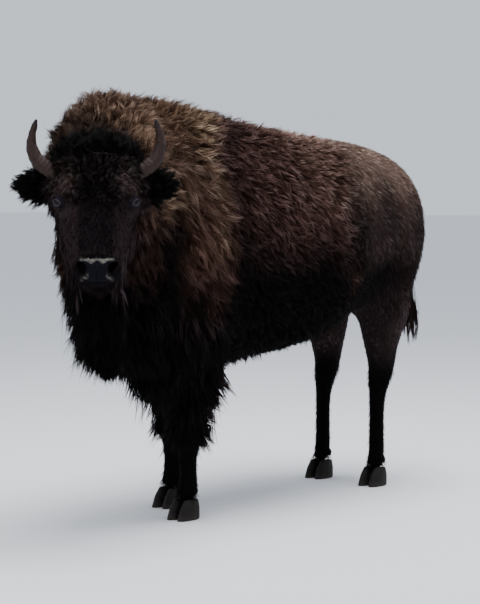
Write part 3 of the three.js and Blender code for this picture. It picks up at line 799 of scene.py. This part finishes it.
hide = Finish("hide_and_nose_pad", IOR=1.45, Specular_IOR_Level=0.07)
shown = hide.attribute("markings")
bareness = hide.attribute("bare", "Fac")
fibres = hide.noise(hide.node("Mapping", None, {"Vector": hide.place(), "Scale": (1, 1, 0.35)}), 420, 4.0)
pebbles = hide.node("TexVoronoi", {"feature": "F1"}, {"Vector": hide.place(), "Scale": 300.0})
blotches = hide.noise(hide.place(), 26, 3.0)
hide.set(
    Base_Color=hide.shaded(shown, 0.62 + 0.76 * blotches),
    Roughness=0.76 - 0.36 * bareness + 0.10 * blotches,
    Normal=hide.bump(fibres * (1 - bareness) * 0.5 + (1 - pebbles) * bareness, 0.0016),
)
skin.data.materials.append(hide.material)

# ---- Eyes ----
# A wet dark brown ball with a long level pupil, and a pale grey rim of bare lid round the oval
# opening, as the animal has where the hair stops short of the eye.

IRIS = (0.009, 0.005, 0.005)
PUPIL = (0.002, 0.002, 0.004)
EYE_WHITE = (0.030, 0.020, 0.018)
LID_RIM = (0.060, 0.049, 0.072)
RIM_THICK = 0.0020

wet = Finish("wet_eye", Roughness=0.06, IOR=1.38, Specular_IOR_Level=0.22)
gaze = wet.attribute("gaze", "Fac")
pupil = wet.attribute("pupil", "Fac")
ball = wet.node("ValToRGB", {"stops": [(0.60, IRIS), (0.78, EYE_WHITE)]}, {0: gaze})
wet.set(Base_Color=wet.mixed(pupil, ball, (*PUPIL, 1)))

lid_skin = Finish("bare_lid", Roughness=0.5, IOR=1.45, Specular_IOR_Level=0.2)
lid_grain = lid_skin.noise(lid_skin.place(), 700, 3.0)
lid_skin.set(
    Base_Color=lid_skin.mixed(lid_grain, (*LID_RIM, 1), (0.014, 0.012, 0.014, 1)),
    Normal=lid_skin.bump(lid_grain, 0.0006),
)

for node, centre, side in (("eye_left", EYE_LEFT, 1), ("eye_right", EYE_RIGHT, -1)):
    axis, slit, rise = eye_axes(side)
    alone(skin)
    bpy.ops.mesh.primitive_uv_sphere_add(segments=64, ring_count=40, radius=EYE_RADIUS)
    ball = bpy.context.object
    ball.name = node + "_ball"
    bpy.ops.object.shade_smooth()
    at = points_of(ball) @ np.array([slit, rise, axis])  # its pole looks along the axis
    height, along, above = dots(at, axis), dots(at, slit), dots(at, rise)
    cornea = 0.0016 * ramp(np.hypot(along, above), 0.0125, 0.004) * (height > 0)
    put_points(ball, at + centre + cornea[:, None] * axis)
    write_value(ball, "gaze", np.where(height > 0, np.hypot(along, above) / EYE_RADIUS, 1.0))
    write_value(ball, "pupil", ramp(np.hypot(along / 0.0075, above / 0.0042), 1.08, 0.92) * (height > 0))
    ball.data.materials.append(wet.material)
    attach(ball, "root")
    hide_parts(node)

    bpy.ops.mesh.primitive_torus_add(
        major_segments=72, minor_segments=10, major_radius=1, minor_radius=RIM_THICK)
    rim = bpy.context.object
    rim.name = node + "_lid_rim"
    bpy.ops.object.shade_smooth()
    at = points_of(rim)
    turn = np.arctan2(at[:, 1], at[:, 0])
    along = (SLIT_HALF + 0.0006) * np.cos(turn)
    above = np.sign(np.sin(turn)) * slit_edge(along * 0.985) * np.abs(np.sin(turn)) ** 0.10
    forth = np.sqrt(np.clip(LID_RADIUS ** 2 - along ** 2 - above ** 2, 0, None)) - 0.0010
    heart = np.c_[along, above, forth]
    off = np.hypot(at[:, 0], at[:, 1]) - 1
    heart = heart + np.c_[off * np.cos(turn), off * np.sin(turn), at[:, 2]]
    put_points(rim, heart @ np.array([slit, rise, axis]) + centre)
    rim.data.materials.append(lid_skin.material)
    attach(rim, "root")

# ---- Horns ----
# Two short horns that sweep out and up from the sides of the forehead, grey-brown, ringed and
# rough at the foot, smooth further up, with dark tips.

HORN_HUB_OUT = 0.100  # the middle of the arc that the horn follows
HORN_HUB_UP = 0.226
HORN_SWEEP = (math.radians(4), math.radians(119))
HORN_GRAIN = 0.0026
HORN_RINGS = 15

keratin = Finish("horn_keratin", IOR=1.5, Specular_IOR_Level=0.14)
along = keratin.attribute("along", "Fac")
grain = keratin.noise(keratin.place(), 60, 5.0, 0.4)
along_horn = keratin.node("Mapping", None, {"Vector": keratin.place(), "Scale": (1, 1, 0.25)})
flakes = keratin.noise(along_horn, 260, 4.0)
horn_browns = [(0.0, (0.008, 0.004, 0.004)), (1.0, (0.028, 0.014, 0.012))]
tint = keratin.node("ValToRGB", {"stops": horn_browns}, {0: grain * 1.5 - 0.25})
pale = keratin.mixed(flakes * 0.5, tint, (0.050, 0.030, 0.025, 1))
tip = keratin.node("MapRange", {"interpolation_type": "SMOOTHSTEP"}, {
    "Value": along + 0.12 * grain, "From Min": 0.88, "From Max": 1.06})
keratin.set(
    Base_Color=keratin.mixed(tip, pale, (0.008, 0.006, 0.006, 1)),
    Roughness=0.50 - 0.16 * tip + 0.18 * flakes,
    Normal=keratin.bump(flakes * (1 - tip) + 0.5 * grain, 0.0014),
)


def smooth_copy(node, name, grain, rounds):
    """A solid of the frame made over with even faces and its facets smoothed away."""
    made = copy_of(node, name)
    modified(made, "REMESH", mode="VOXEL", voxel_size=grain)
    evened(made, rounds, np.full(len(made.data.vertices), 0.5))
    alone(made)
    bpy.ops.object.shade_smooth()
    return made


for node, side in (("horn_left", 1), ("horn_right", -1)):
    horn = smooth_copy(node, node + "_sheath", HORN_GRAIN, 9)
    at = points_of(horn)
    _, left, up = head_place(at)
    turn = np.arctan2(side * left - HORN_HUB_OUT, HORN_HUB_UP - up)
    along = (turn - HORN_SWEEP[0]) / (HORN_SWEEP[1] - HORN_SWEEP[0])
    rings = np.sin(2 * math.pi * HORN_RINGS * along + 1.3 * waver(at, 0.06, 5)) * ramp(along, 0.62, 0.15)
    dents = waver(at, 0.030, 6) * 0.0009 + waver(at, 0.012, 7) * 0.0004
    blunt = 0.0042 * ramp(along, 0.72, 0.96)
    put_points(horn, at + normals_of(horn) * (0.0009 * rings + dents + blunt)[:, None])
    write_value(horn, "along", np.clip(along, 0, 1))
    horn.data.materials.append(keratin.material)
    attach(horn, "root")
    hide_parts(node)

# ---- Hooves ----
# Cloven: two claws of dull black horn to a foot, with faint growth rings round them and a paler
# worn edge at the ground.

HOOF_GRAIN = 0.0038
HOOF_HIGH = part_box("hoof_fore_left_inner")[1].z
DEWCLAW_UP = 0.110
DEWCLAW_APART = 0.022

hoof_horn = Finish("hoof_horn", IOR=1.45, Specular_IOR_Level=0.2)
worn = hoof_horn.attribute("height", "Fac")
down_hoof = hoof_horn.node("Mapping", None, {"Vector": hoof_horn.place(), "Scale": (1, 1, 0.3)})
grain = hoof_horn.noise(down_hoof, 130, 5.0)
hoof_blacks = [(0.25, (0.004, 0.003, 0.003)), (0.8, (0.015, 0.011, 0.009))]
tint = hoof_horn.node("ValToRGB", {"stops": hoof_blacks}, {0: grain})
hoof_horn.set(
    Base_Color=hoof_horn.mixed((1 - worn) * grain, tint, (0.036, 0.028, 0.022, 1)),
    Roughness=0.50 + 0.25 * grain,
    Normal=hoof_horn.bump(grain, 0.0015),
)


def dewclaws(foot):
    """Two small blunt claws behind the fetlock, above the hoof."""
    made = []
    heel = FEET[foot] + Vector((0.046, 0, 0))
    for side in (1, -1):
        bpy.ops.mesh.primitive_uv_sphere_add(segments=20, ring_count=12, radius=0.011)
        claw = bpy.context.object
        at = points_of(claw) * [0.9, 0.8, 1.6]
        at[:, 0] += 0.35 * np.minimum(-at[:, 2], 0.0)
        put_points(claw, at + [heel.x, heel.y + side * DEWCLAW_APART, DEWCLAW_UP])
        made.append(claw)
    return made


for foot in FEET:
    claws = []
    for claw in ("inner", "outer"):
        made = smooth_copy(f"hoof_{foot}_{claw}", f"hoof_{foot}_{claw}_claw", HOOF_GRAIN, 7)
        at = points_of(made)
        heart = middle(f"hoof_{foot}_{claw}")
        in_leg = ramp(at[:, 2], 0.5 * HOOF_HIGH, 1.05 * HOOF_HIGH)
        at[:, 0] += in_leg * (0.22 * (heart.x + 0.022 - at[:, 0]))
        at[:, 1] += in_leg * (0.12 * (heart.y - at[:, 1]))
        put_points(made, at)
        claws.append(made)
    claws += dewclaws(foot)
    alone(*claws)
    bpy.ops.object.join()
    bpy.ops.object.shade_smooth()
    hoof = claws[0]
    hoof.name = f"hooves_{foot}"
    at = points_of(hoof)
    rings = np.sin(at[:, 2] * (2 * math.pi / 0.0085) + waver(at, 0.05, 8)) * ramp(at[:, 2], 0.075, 0.05)
    out = normals_of(hoof) * [1, 1, 0]
    at = at + out * (0.0004 * rings * ramp(at[:, 2], 0.004, 0.012))[:, None]
    at[:, 2] = np.clip(at[:, 2] - at[:, 2].min() * ramp(at[:, 2], 0.01, 0.0), 0.0, None)
    put_points(hoof, at)
    write_value(hoof, "height", ramp(at[:, 2], 0.0, 0.03))
    hoof.data.materials.append(hoof_horn.material)
    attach(hoof, "root")
    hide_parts(f"hoof_{foot}_inner", f"hoof_{foot}_outer")

# ---- Coat ----
# Every lock is a closed three-sided blade that grows from the skin, lies along the lie of the
# hair, and leans towards its neighbours, so that the wool breaks into clumps as it does in life.

DOWN_FACE = FORWARD * math.cos(FACE_DROP) - UP * math.sin(FACE_DROP)
OUT_OF_FACE = FORWARD * math.sin(FACE_DROP) + UP * math.cos(FACE_DROP)
MANE_HEART = BETWEEN_EYES - 0.17 * FORWARD + 0.06 * UP  # the mane's hair radiates from here
ROOT_DEPTH = 0.003  # how far a lock starts below the skin
PATCH = 0.0015  # half the size of a lock's patch on its colour map


def lie_of_hair(points):
    """The way that hair points, before it is laid along the skin."""
    at = regions(points)
    x, z = at["x"], at["z"]
    count = len(points)

    def towards(*heading):
        return np.stack([np.broadcast_to(np.asarray(h, float), count) for h in heading], 1)

    lie = towards(1.0, 0, -0.50 - 0.55 * ramp(z, 1.44, 1.2) - 0.4 * ramp(z, 0.9, 0.7))
    lie = lie + at["rump"][:, None] * (towards(0.55, 0, -0.85) - lie)
    lie = lie + (at["thigh"] * 0.9)[:, None] * (towards(0.35, 0, -1.0) - lie)
    lie = lie + ramp(x, 0.98, 1.06)[:, None] * (towards(0.1, 0, -1.0) - lie)
    reach = points - MANE_HEART
    far = np.linalg.norm(reach, axis=1)
    stream = towards(0.50, 0, -0.78 - 0.60 * ramp(z, 1.45, 1.05))
    mane = unit(reach) + (0.1 + 0.9 * ramp(far, 0.20, 0.46))[:, None] * (stream - 0.85 * unit(reach))
    lie = lie + at["cape"][:, None] * (mane - lie)
    lie = lie + at["off_cheek"][:, None] * (towards(0.35, 0, -1.0) - lie)
    lie = lie + at["chest"][:, None] * (towards(0.12, 0, -1.0) - lie)
    swept = 0.1 + 0.6 * at["chaps"] * ramp(x - at["fore_x"], -0.02, 0.09)
    lie = lie + np.clip(at["chaps"] + at["lower"], 0, 1)[:, None] * (towards(swept, 0, -1.0) - lie)
    wide = ramp(np.abs(at["left"]), 0.05, 0.12)
    face = DOWN_FACE - (0.30 * wide)[:, None] * OUT_OF_FACE
    lie = lie + at["head"][:, None] * (face - lie)
    lie = lie + at["jaw"][:, None] * (DOWN_FACE * 0.3 - UP - 0.1 * FORWARD - lie)
    crown = unit(points - (BETWEEN_EYES + 0.07 * DOWN_FACE))
    lie = lie + at["bonnet"][:, None] * (crown + 0.35 * OUT_OF_FACE - lie)
    lie = lie + (0.5 * at["forehead"])[:, None] * (crown + 0.2 * OUT_OF_FACE - lie)
    ear = np.sign(at["left"])[:, None] * LEFT - 0.30 * FORWARD + 0.15 * UP
    lie = lie + at["ear"][:, None] * (ear - lie)
    lie = lie + at["beard"][:, None] * (towards(0, 0, -1.0) - lie)
    lie = lie + at["tail"][:, None] * (towards(0, 0, -1.0) - lie)
    return unit(lie)


def faces_of_skin():
    skin.data.calc_loop_triangles()
    corners = np.empty(len(skin.data.loop_triangles) * 3, np.int32)
    skin.data.loop_triangles.foreach_get("vertices", corners)
    return corners.reshape(-1, 3)


# the skin's triangles, on which the locks take root
SKIN_FACES = faces_of_skin()
SKIN_POINTS = points_of(skin)
SKIN_NORMALS = normals_of(skin)
FACE_MIDDLES = SKIN_POINTS[SKIN_FACES].mean(1)
edge_one = SKIN_POINTS[SKIN_FACES[:, 1]] - SKIN_POINTS[SKIN_FACES[:, 0]]
edge_two = SKIN_POINTS[SKIN_FACES[:, 2]] - SKIN_POINTS[SKIN_FACES[:, 0]]
FACE_AREAS = np.linalg.norm(np.cross(edge_one, edge_two), axis=1) / 2


def rooted(share, count, draw):
    """Roots spread evenly over the skin, as thick as the share says, and the normals there."""
    weight = FACE_AREAS * share(FACE_MIDDLES)
    cells = np.floor(FACE_MIDDLES / 0.04).astype(int)
    order = np.lexsort((cells[:, 0], cells[:, 1], cells[:, 2]))
    total = np.cumsum(weight[order])
    picks = (np.arange(count) + draw.uniform(size=count)) / count * total[-1]
    face = SKIN_FACES[order[np.minimum(np.searchsorted(total, picks), len(order) - 1)]]
    one, two = draw.uniform(size=(2, count))
    fold = one + two > 1
    one, two = np.where(fold, 1 - one, one), np.where(fold, 1 - two, two)
    parts = np.stack([1 - one - two, one, two], 1)[:, :, None]
    return (SKIN_POINTS[face] * parts).sum(1), unit((SKIN_NORMALS[face] * parts).sum(1))


def blade_faces(rings):
    """The faces of one closed three-sided blade: base, sides and tip."""
    faces = [(2, 1, 0)]
    for ring in range(rings - 1):
        for n in range(3):
            a, b = 3 * ring + n, 3 * ring + (n + 1) % 3
            faces.append((a, b, b + 3, a + 3))
    last = 3 * (rings - 1)
    for n in range(3):
        faces.append((last + n, last + (n + 1) % 3, 3 * rings))
    return faces


def mesh_of_blades(name, points, patches, strands, colours, rings):
    """Joins the blades of one piece of the coat. points is locks x places x 3."""
    locks, places, _ = points.shape
    faces = blade_faces(rings)
    corners = np.concatenate(faces)
    sizes = np.array([len(f) for f in faces])
    every = (corners[None, :] + places * np.arange(locks)[:, None]).ravel()
    starts = np.concatenate([[0], np.cumsum(np.tile(sizes, locks))[:-1]])
    mesh = bpy.data.meshes.new(name)
    mesh.vertices.add(locks * places)
    mesh.loops.add(len(every))
    mesh.polygons.add(locks * len(faces))
    mesh.vertices.foreach_set("co", points.astype(np.float32).ravel())
    mesh.loops.foreach_set("vertex_index", every.astype(np.int32))
    mesh.polygons.foreach_set("loop_start", starts.astype(np.int32))
    mesh.update(calc_edges=True)
    mesh.polygons.foreach_set("use_smooth", np.ones(len(mesh.polygons), bool))
    for layer, flat in (("OFBake", patches), ("Strands", strands)):
        made = mesh.uv_layers.new(name=layer)
        made.data.foreach_set("uv", flat.reshape(-1, 2)[every].astype(np.float32).ravel())
    thing = bpy.data.objects.new(name, mesh)
    bpy.context.collection.objects.link(thing)
    write_colour(thing, "markings", colours.reshape(-1, 3))
    return thing


def hair_finish(name, roughness):
    """Hair in fine strands along each lock, with a faint low gloss."""
    made = Finish(name, IOR=1.4, Specular_IOR_Level=0.07)
    down_lock = made.node("UVMap", {"uv_map": "Strands"})
    lines = made.node("Mapping", None, {"Vector": down_lock, "Scale": (3.2, 0.35, 1)})
    strands = made.noise(lines, 2.2, 2.0)
    shown = made.attribute("markings")
    made.set(
        Base_Color=made.shaded(shown, 0.50 + 1.00 * strands),
        Roughness=roughness + 0.2 * strands,
        Normal=made.bump(strands, 0.0012),
    )
    return made


wool = hair_finish("coat_wool", 0.58)
WARMTH = (0.91, 1.07, 1.17)  # dark hair is redder than bright hair, so green and blue rise faster
BLADE_WIDTHS = {1: [0.9], 2: [0.85, 0.8], 5: [0.7, 0.9, 1.0, 0.9, 0.6]}  # down a blade, by its rings


def lay_locks(name, lines, normal, width, colour, tone, unwrap, draw, pale_tips):
    """Makes locks round the given lines, each a list of places from root to tip."""
    rings = len(lines) - 1
    root = lines[0]
    count = len(root)
    lines = [root - ROOT_DEPTH * normal] + lines[1:]
    points = np.empty((count, 3 * rings + 1, 3))
    for k in range(rings):
        ahead = unit(lines[k + 1] - lines[max(k - 1, 0)])
        across = unit(np.cross(normal, ahead))
        above = np.cross(ahead, across)
        half = (width * BLADE_WIDTHS[rings][k] / 2)[:, None]
        points[:, 3 * k] = lines[k] + across * half
        points[:, 3 * k + 1] = lines[k] + above * half * 0.8
        points[:, 3 * k + 2] = lines[k] - across * half
    points[:, -1] = lines[-1]

    steps = np.array([k / rings for k in range(rings) for _ in range(3)] + [1.0])
    lit = ROOT_SHADE + (1 - ROOT_SHADE) * ramp(steps, 0.0, 0.55) + pale_tips * ramp(steps, 0.45, 1.0)
    bright = (tone[:, None] * lit[None, :])[:, :, None] ** np.array(WARMTH)
    colours = np.clip(colour[:, None, :] * bright, 0, 1)

    u, v = unwrap(root)
    home = np.stack([0.01 + 0.98 * (flat - flat.min()) / (flat.max() - flat.min()) for flat in (u, v)], 1)
    aside = np.array([1.0, 0.2, -1.0] * rings + [0.1])
    onward = 2 * steps - 1
    onward[1] += 0.3
    patches = home[:, None, :] + PATCH * np.stack([aside, onward], 1)[None]
    long = np.linalg.norm(lines[-1] - root, axis=1)
    strands = np.stack(np.broadcast_arrays(
        aside[None] * 0.5 + draw.uniform(0, 40, count)[:, None],
        steps[None] * (long / width)[:, None] * 0.25), 2)
    made = mesh_of_blades(name, points, patches, strands, colours, rings)
    made.data.materials.append(wool.material)
    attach(made, "root")
    return made


def leaders(root, clump, draw):
    """For each lock the nearest one of those that lead a clump."""
    cells = np.unique(np.floor(root / clump).astype(int), axis=0)
    heads = draw.permutation(len(root))[:max(8, int(0.6 * len(cells)))]
    tree = KDTree(len(heads))
    for n, head in enumerate(heads):
        tree.insert(root[head], n)
    tree.balance()
    return heads[[tree.find(place)[1] for place in root]]


def shortest_hang(points):
    """The height that hair hanging from each point stays above."""
    at = regions(points)
    underside = np.interp(at["x"], UNDERSIDE_X, UNDERSIDE_Z) - 0.004
    free = (at["chaps"] > 0.3) | (at["lower"] > 0.1) | (at["head"] > 0.5)
    return np.where(at["beard"] > 0.5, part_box("beard")[0].z - 0.012, np.where(free, -1, underside))


STRAY_LOCKS = 1 / 8  # the share of locks that are longer than the rest of their clump


def coat_piece(name, seed, count, share, unwrap, rings=2, clump=0.02, gather=0.55, droop=0.12,
               curl=0.10, ragged=0.0, streaks=1.0, pale_tips=0.45):
    """One piece of the coat. Clumps are about the given distance apart, gather says how far the
    tips of a clump lean together, and ragged how much longer the stray locks are."""
    draw = np.random.RandomState(seed)
    root, normal = rooted(share, count, draw)
    mate = leaders(root, clump, draw)

    def varied(spread, own=0.35):
        """A factor about 1 for each lock, most of which its whole clump shares."""
        change = draw.uniform(-spread, spread, count)
        return 1 + own * change + (1 - own) * change[mate]

    _, length, width, lift = growth(root).T
    length = length * varied(0.35)
    room = np.maximum(root[:, 2] - shortest_hang(root), 0.02)
    length = np.minimum(length, room * draw.uniform(0.5, 0.8, count))
    stray = draw.uniform(size=count) < STRAY_LOCKS
    length = length * (1 + ragged * stray * draw.uniform(0.2, 0.6, count))
    width = width * draw.uniform(0.75, 1.25, count)
    lift = np.radians(lift) * varied(0.6)
    hangs = ramp(-normal[:, 2], 0.1, 0.7) * ramp(length, 0.05, 0.09)
    lift = lift + hangs * (math.radians(70) - lift)
    way = lie_of_hair(root)
    swirl = 0.34 * waver(root, 0.30, seed + 1) + 0.22 * waver(root, 0.11, seed + 2) + varied(0.45, 0.2) - 1
    flat = unit(way - dots(way, normal)[:, None] * normal)
    flat = flat * np.cos(swirl)[:, None] + np.cross(normal, flat) * np.sin(swirl)[:, None]
    side = np.cross(normal, flat)
    sway = curl * draw.normal(0, 1, count)
    sway = 0.35 * sway + 0.75 * sway[mate]

    def centre_line(t):
        forth = (np.cos(lift) * t)[:, None] * flat
        rise = (np.sin(lift) * (1.3 * t - 0.3 * t * t))[:, None] * normal
        bend = (sway * math.sin(math.pi * 1.3 * t))[:, None] * side
        return root + length[:, None] * (forth + rise + bend) - (droop * length * t * t)[:, None] * UP

    tips = centre_line(1.0)
    pull = tips[mate] - tips
    pull = pull * np.minimum(1, 1.2 * clump / np.maximum(np.linalg.norm(pull, axis=1), 1e-6))[:, None]
    places = [k / rings for k in range(rings)] + [1.0]
    lines = [centre_line(t) + gather * t ** 1.4 * pull for t in places]

    tone = (1 + 0.16 * streaks * waver(root, 0.09, seed + 3)) * varied(0.55 * streaks, 1.0)
    tone = tone * varied(0.70 * streaks, 0.0) ** 1.4
    colour = markings(root + flat * length[:, None] * 0.3)
    return lay_locks(name, lines, normal, width, colour, tone, unwrap, draw, pale_tips)


TRUNK_AXIS_UP = 1.02


def round_trunk(points):
    return points[:, 0], np.arctan2(points[:, 1] - MIDDLE_Y, points[:, 2] - TRUNK_AXIS_UP)


def round_head(points):
    down_face, left, out = face_place(points)
    return down_face, np.arctan2(left, out + 0.03)


def each_leg(points):
    """Each leg has a quarter of the map, by height and by the way round it."""
    fore = points[:, 0] < TRUNK_MIDDLE_X
    left = points[:, 1] < MIDDLE_Y
    foot = np.array([place[:2] for place in FEET.values()])
    which = np.where(fore, 0, 2) + np.where(left, 0, 1)
    away = points[:, :2] - foot[which]
    turn = np.arctan2(away[:, 1], away[:, 0]) / math.pi
    return turn * 0.9 + 2.2 * (which % 2), points[:, 2] + 1.1 * (which // 2)


def trunk_of(at):
    return (1 - at["head"]) * (1 - at["beard"]) * (1 - at["lower"])


def on_hand(points, hand):
    left = points[:, 1] < MIDDLE_Y
    return left if hand == "left" else ~left


CREST_FROM_Z = 1.36  # the long gold hair over the hump starts at this height
RUMP_FROM_X = 0.50  # short hair lies from here to the tail
CHAPS_DOWN_FROM_Z = 0.47


def crest_share(points):
    at = regions(points)
    return trunk_of(at) * at["cape"] * (points[:, 2] > CREST_FROM_Z)


def cape_share(points, hand):
    at = regions(points)
    below = (points[:, 2] <= CREST_FROM_Z) * (at["chest"] < 0.5) * ~on_foreleg(at)
    return trunk_of(at) * at["cape"] * below * on_hand(points, hand)


def on_foreleg(at):
    return ((at["chaps"] >= 0.5) | (at["z"] <= CHAPS_DOWN_FROM_Z)) & (at["x"] < TRUNK_MIDDLE_X)


def chest_share(points):
    at = regions(points)
    return trunk_of(at) * (at["chest"] >= 0.5) * ~on_foreleg(at)


def flank_share(points, hand):
    at = regions(points)
    behind_cape = (at["cape"] < 0.5) * (at["chest"] < 0.5) * (points[:, 0] < RUMP_FROM_X)
    return trunk_of(at) * behind_cape * ~on_foreleg(at) * on_hand(points, hand)


def rump_share(points):
    at = regions(points)
    return trunk_of(at) * (points[:, 0] >= RUMP_FROM_X) * (1 - at["tail"])


def chaps_share(points):
    at = regions(points)
    return (1 - at["lower"]) * on_foreleg(at) * (1 - at["beard"])


def lower_share(points):
    return regions(points)["lower"] * ramp(points[:, 2], 0.070, 0.085)


def bonnet_share(points):
    at = regions(points)
    return (at["bonnet"] > 0.3) * at["head"]


def forehead_share(points):
    at = regions(points)
    return (at["forehead"] > 0.3) * (at["bonnet"] <= 0.3) * at["head"] * (at["brow"] < 0.4)


def hairy(points):
    return (bare_skin(points) < 0.3) * (rim_highlight_and_streaks(points) < 0.3) * (lid_share(points) < 0.4)


def face_share(points):
    at = regions(points)
    under_crown = (at["bonnet"] <= 0.3) * ((at["forehead"] <= 0.3) | (at["brow"] >= 0.4))
    face = under_crown * (1 - at["ear"]) * (1 - at["jaw"])
    return at["head"] * face * hairy(points) * (1 + 3 * at["muzzle"])


def jaw_share(points):
    at = regions(points)
    jaw = at["jaw"] * at["head"] * (at["bonnet"] <= 0.3) * (at["forehead"] <= 0.3)
    return np.maximum(jaw, at["beard"]) * (1 - at["ear"]) * hairy(points)


def ear_share(points):
    return regions(points)["ear"]


def tail_share(points):
    return regions(points)["tail"]


coat_piece("coat_crest", 11, 15000, crest_share, round_trunk,
           clump=0.013, gather=0.45, droop=0.03, curl=0.20, ragged=0.5, pale_tips=0.7)
for hand, count, seed in (("left", 17500, 21), ("right", 11500, 31)):
    coat_piece(f"coat_cape_{hand}", seed, count, lambda p: cape_share(p, hand), round_trunk,
               clump=0.013, gather=0.5, droop=0.08, curl=0.14, ragged=0.3, pale_tips=0.7)
for hand, count, seed in (("left", 17500, 51), ("right", 10500, 61)):
    coat_piece(f"coat_flank_{hand}", seed, count, lambda p: flank_share(p, hand), round_trunk,
               clump=0.012, gather=0.45, curl=0.16, ragged=0.2, pale_tips=0.7)
coat_piece("coat_chest", 41, 10000, chest_share, round_trunk,
           clump=0.020, droop=0.2, ragged=0.9, streaks=1.3, pale_tips=1.2)
coat_piece("coat_rump", 71, 31000, rump_share, round_trunk,
           rings=1, clump=0.010, gather=0.3, curl=0.05)
coat_piece("coat_chaps", 81, 7500, chaps_share, each_leg,
           clump=0.020, droop=0.1, ragged=0.8, pale_tips=1.0)
coat_piece("coat_lower_legs", 91, 8500, lower_share, each_leg,
           rings=1, clump=0.008, gather=0.3, curl=0.04)
coat_piece("coat_bonnet", 101, 7000, bonnet_share, round_head,
           clump=0.012, curl=0.24, droop=0.0, ragged=0.3)
coat_piece("coat_forehead", 106, 4500, forehead_share, round_head,
           clump=0.010, curl=0.18, droop=0.0)
coat_piece("coat_face", 111, 39000, face_share, round_head,
           rings=1, clump=0.007, gather=0.25, curl=0.04, droop=0.0, streaks=0.8)
coat_piece("coat_jaw_and_beard", 121, 7500, jaw_share, round_head,
           clump=0.016, droop=0.25, ragged=0.5)
coat_piece("coat_ears", 131, 5500, ear_share, round_head,
           clump=0.012, droop=0.08, ragged=0.4)
coat_piece("coat_tail", 141, 5500, tail_share, round_trunk,
           rings=1, clump=0.010, gather=0.3, curl=0.05)

# ---- Tail tuft ----
# Long loose strands from the last hand's breadth of the tail, gathered in wisps that hang to
# just above the hocks.

TUFT_STRANDS = 800
TUFT_WISPS = 26
TUFT_RINGS = 5
TUFT_ROOTS_UP = 0.13  # how far above the tail's end the strands start
TUFT_STRAND_WIDTH = 0.0034
tuft_low, tuft_high = (np.array(corner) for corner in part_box("tail_tuft"))
tuft_size = tuft_high - tuft_low
tuft_x = (tuft_low[0] + tuft_high[0]) / 2


def tuft_share(points):
    beside = np.hypot(points[:, 0] - tuft_x, points[:, 1] - tuft_high[1] + 0.03)
    above = ramp(points[:, 2], tuft_high[2] + TUFT_ROOTS_UP, tuft_high[2] + 0.02)
    return ramp(beside, 0.075, 0.055) * above


draw = np.random.RandomState(151)
root, normal = rooted(tuft_share, TUFT_STRANDS, draw)
wisp = draw.randint(TUFT_WISPS, size=TUFT_STRANDS)
across = draw.uniform(size=(TUFT_WISPS, 2))
low = draw.uniform(size=TUFT_WISPS) ** 1.2
wide, deep = across.T
waist = tuft_low + tuft_size * np.c_[0.30 + 0.60 * wide, 0.15 + 0.55 * deep, 0.60 + 0.25 * low]
ends = tuft_low + tuft_size * np.c_[0.15 + 0.84 * wide, 0.02 + 0.60 * deep, 0.03 + 0.75 * low]
bend = waist[wisp] + draw.normal(0, 0.007, (TUFT_STRANDS, 3))
end = ends[wisp] + draw.normal(0, 0.0035, (TUFT_STRANDS, 3)) + 0.008 * UP
sway = 0.010 * draw.normal(size=(TUFT_WISPS, 3))[wisp]
lines = []
for t in np.linspace(0, 1, TUFT_RINGS + 1):
    place = (1 - t) ** 2 * root + 2 * t * (1 - t) * bend + t * t * end
    lines.append(place + math.sin(2.4 * math.pi * t) * t * sway)
width = TUFT_STRAND_WIDTH * draw.uniform(0.7, 1.2, TUFT_STRANDS)
tone = draw.uniform(0.6, 1.4, TUFT_STRANDS)
tuft = lay_locks("coat_tail_tuft", lines, normal, width, markings(bend), tone,
                 round_trunk, draw, 0.3)
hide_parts("tail_tuft")
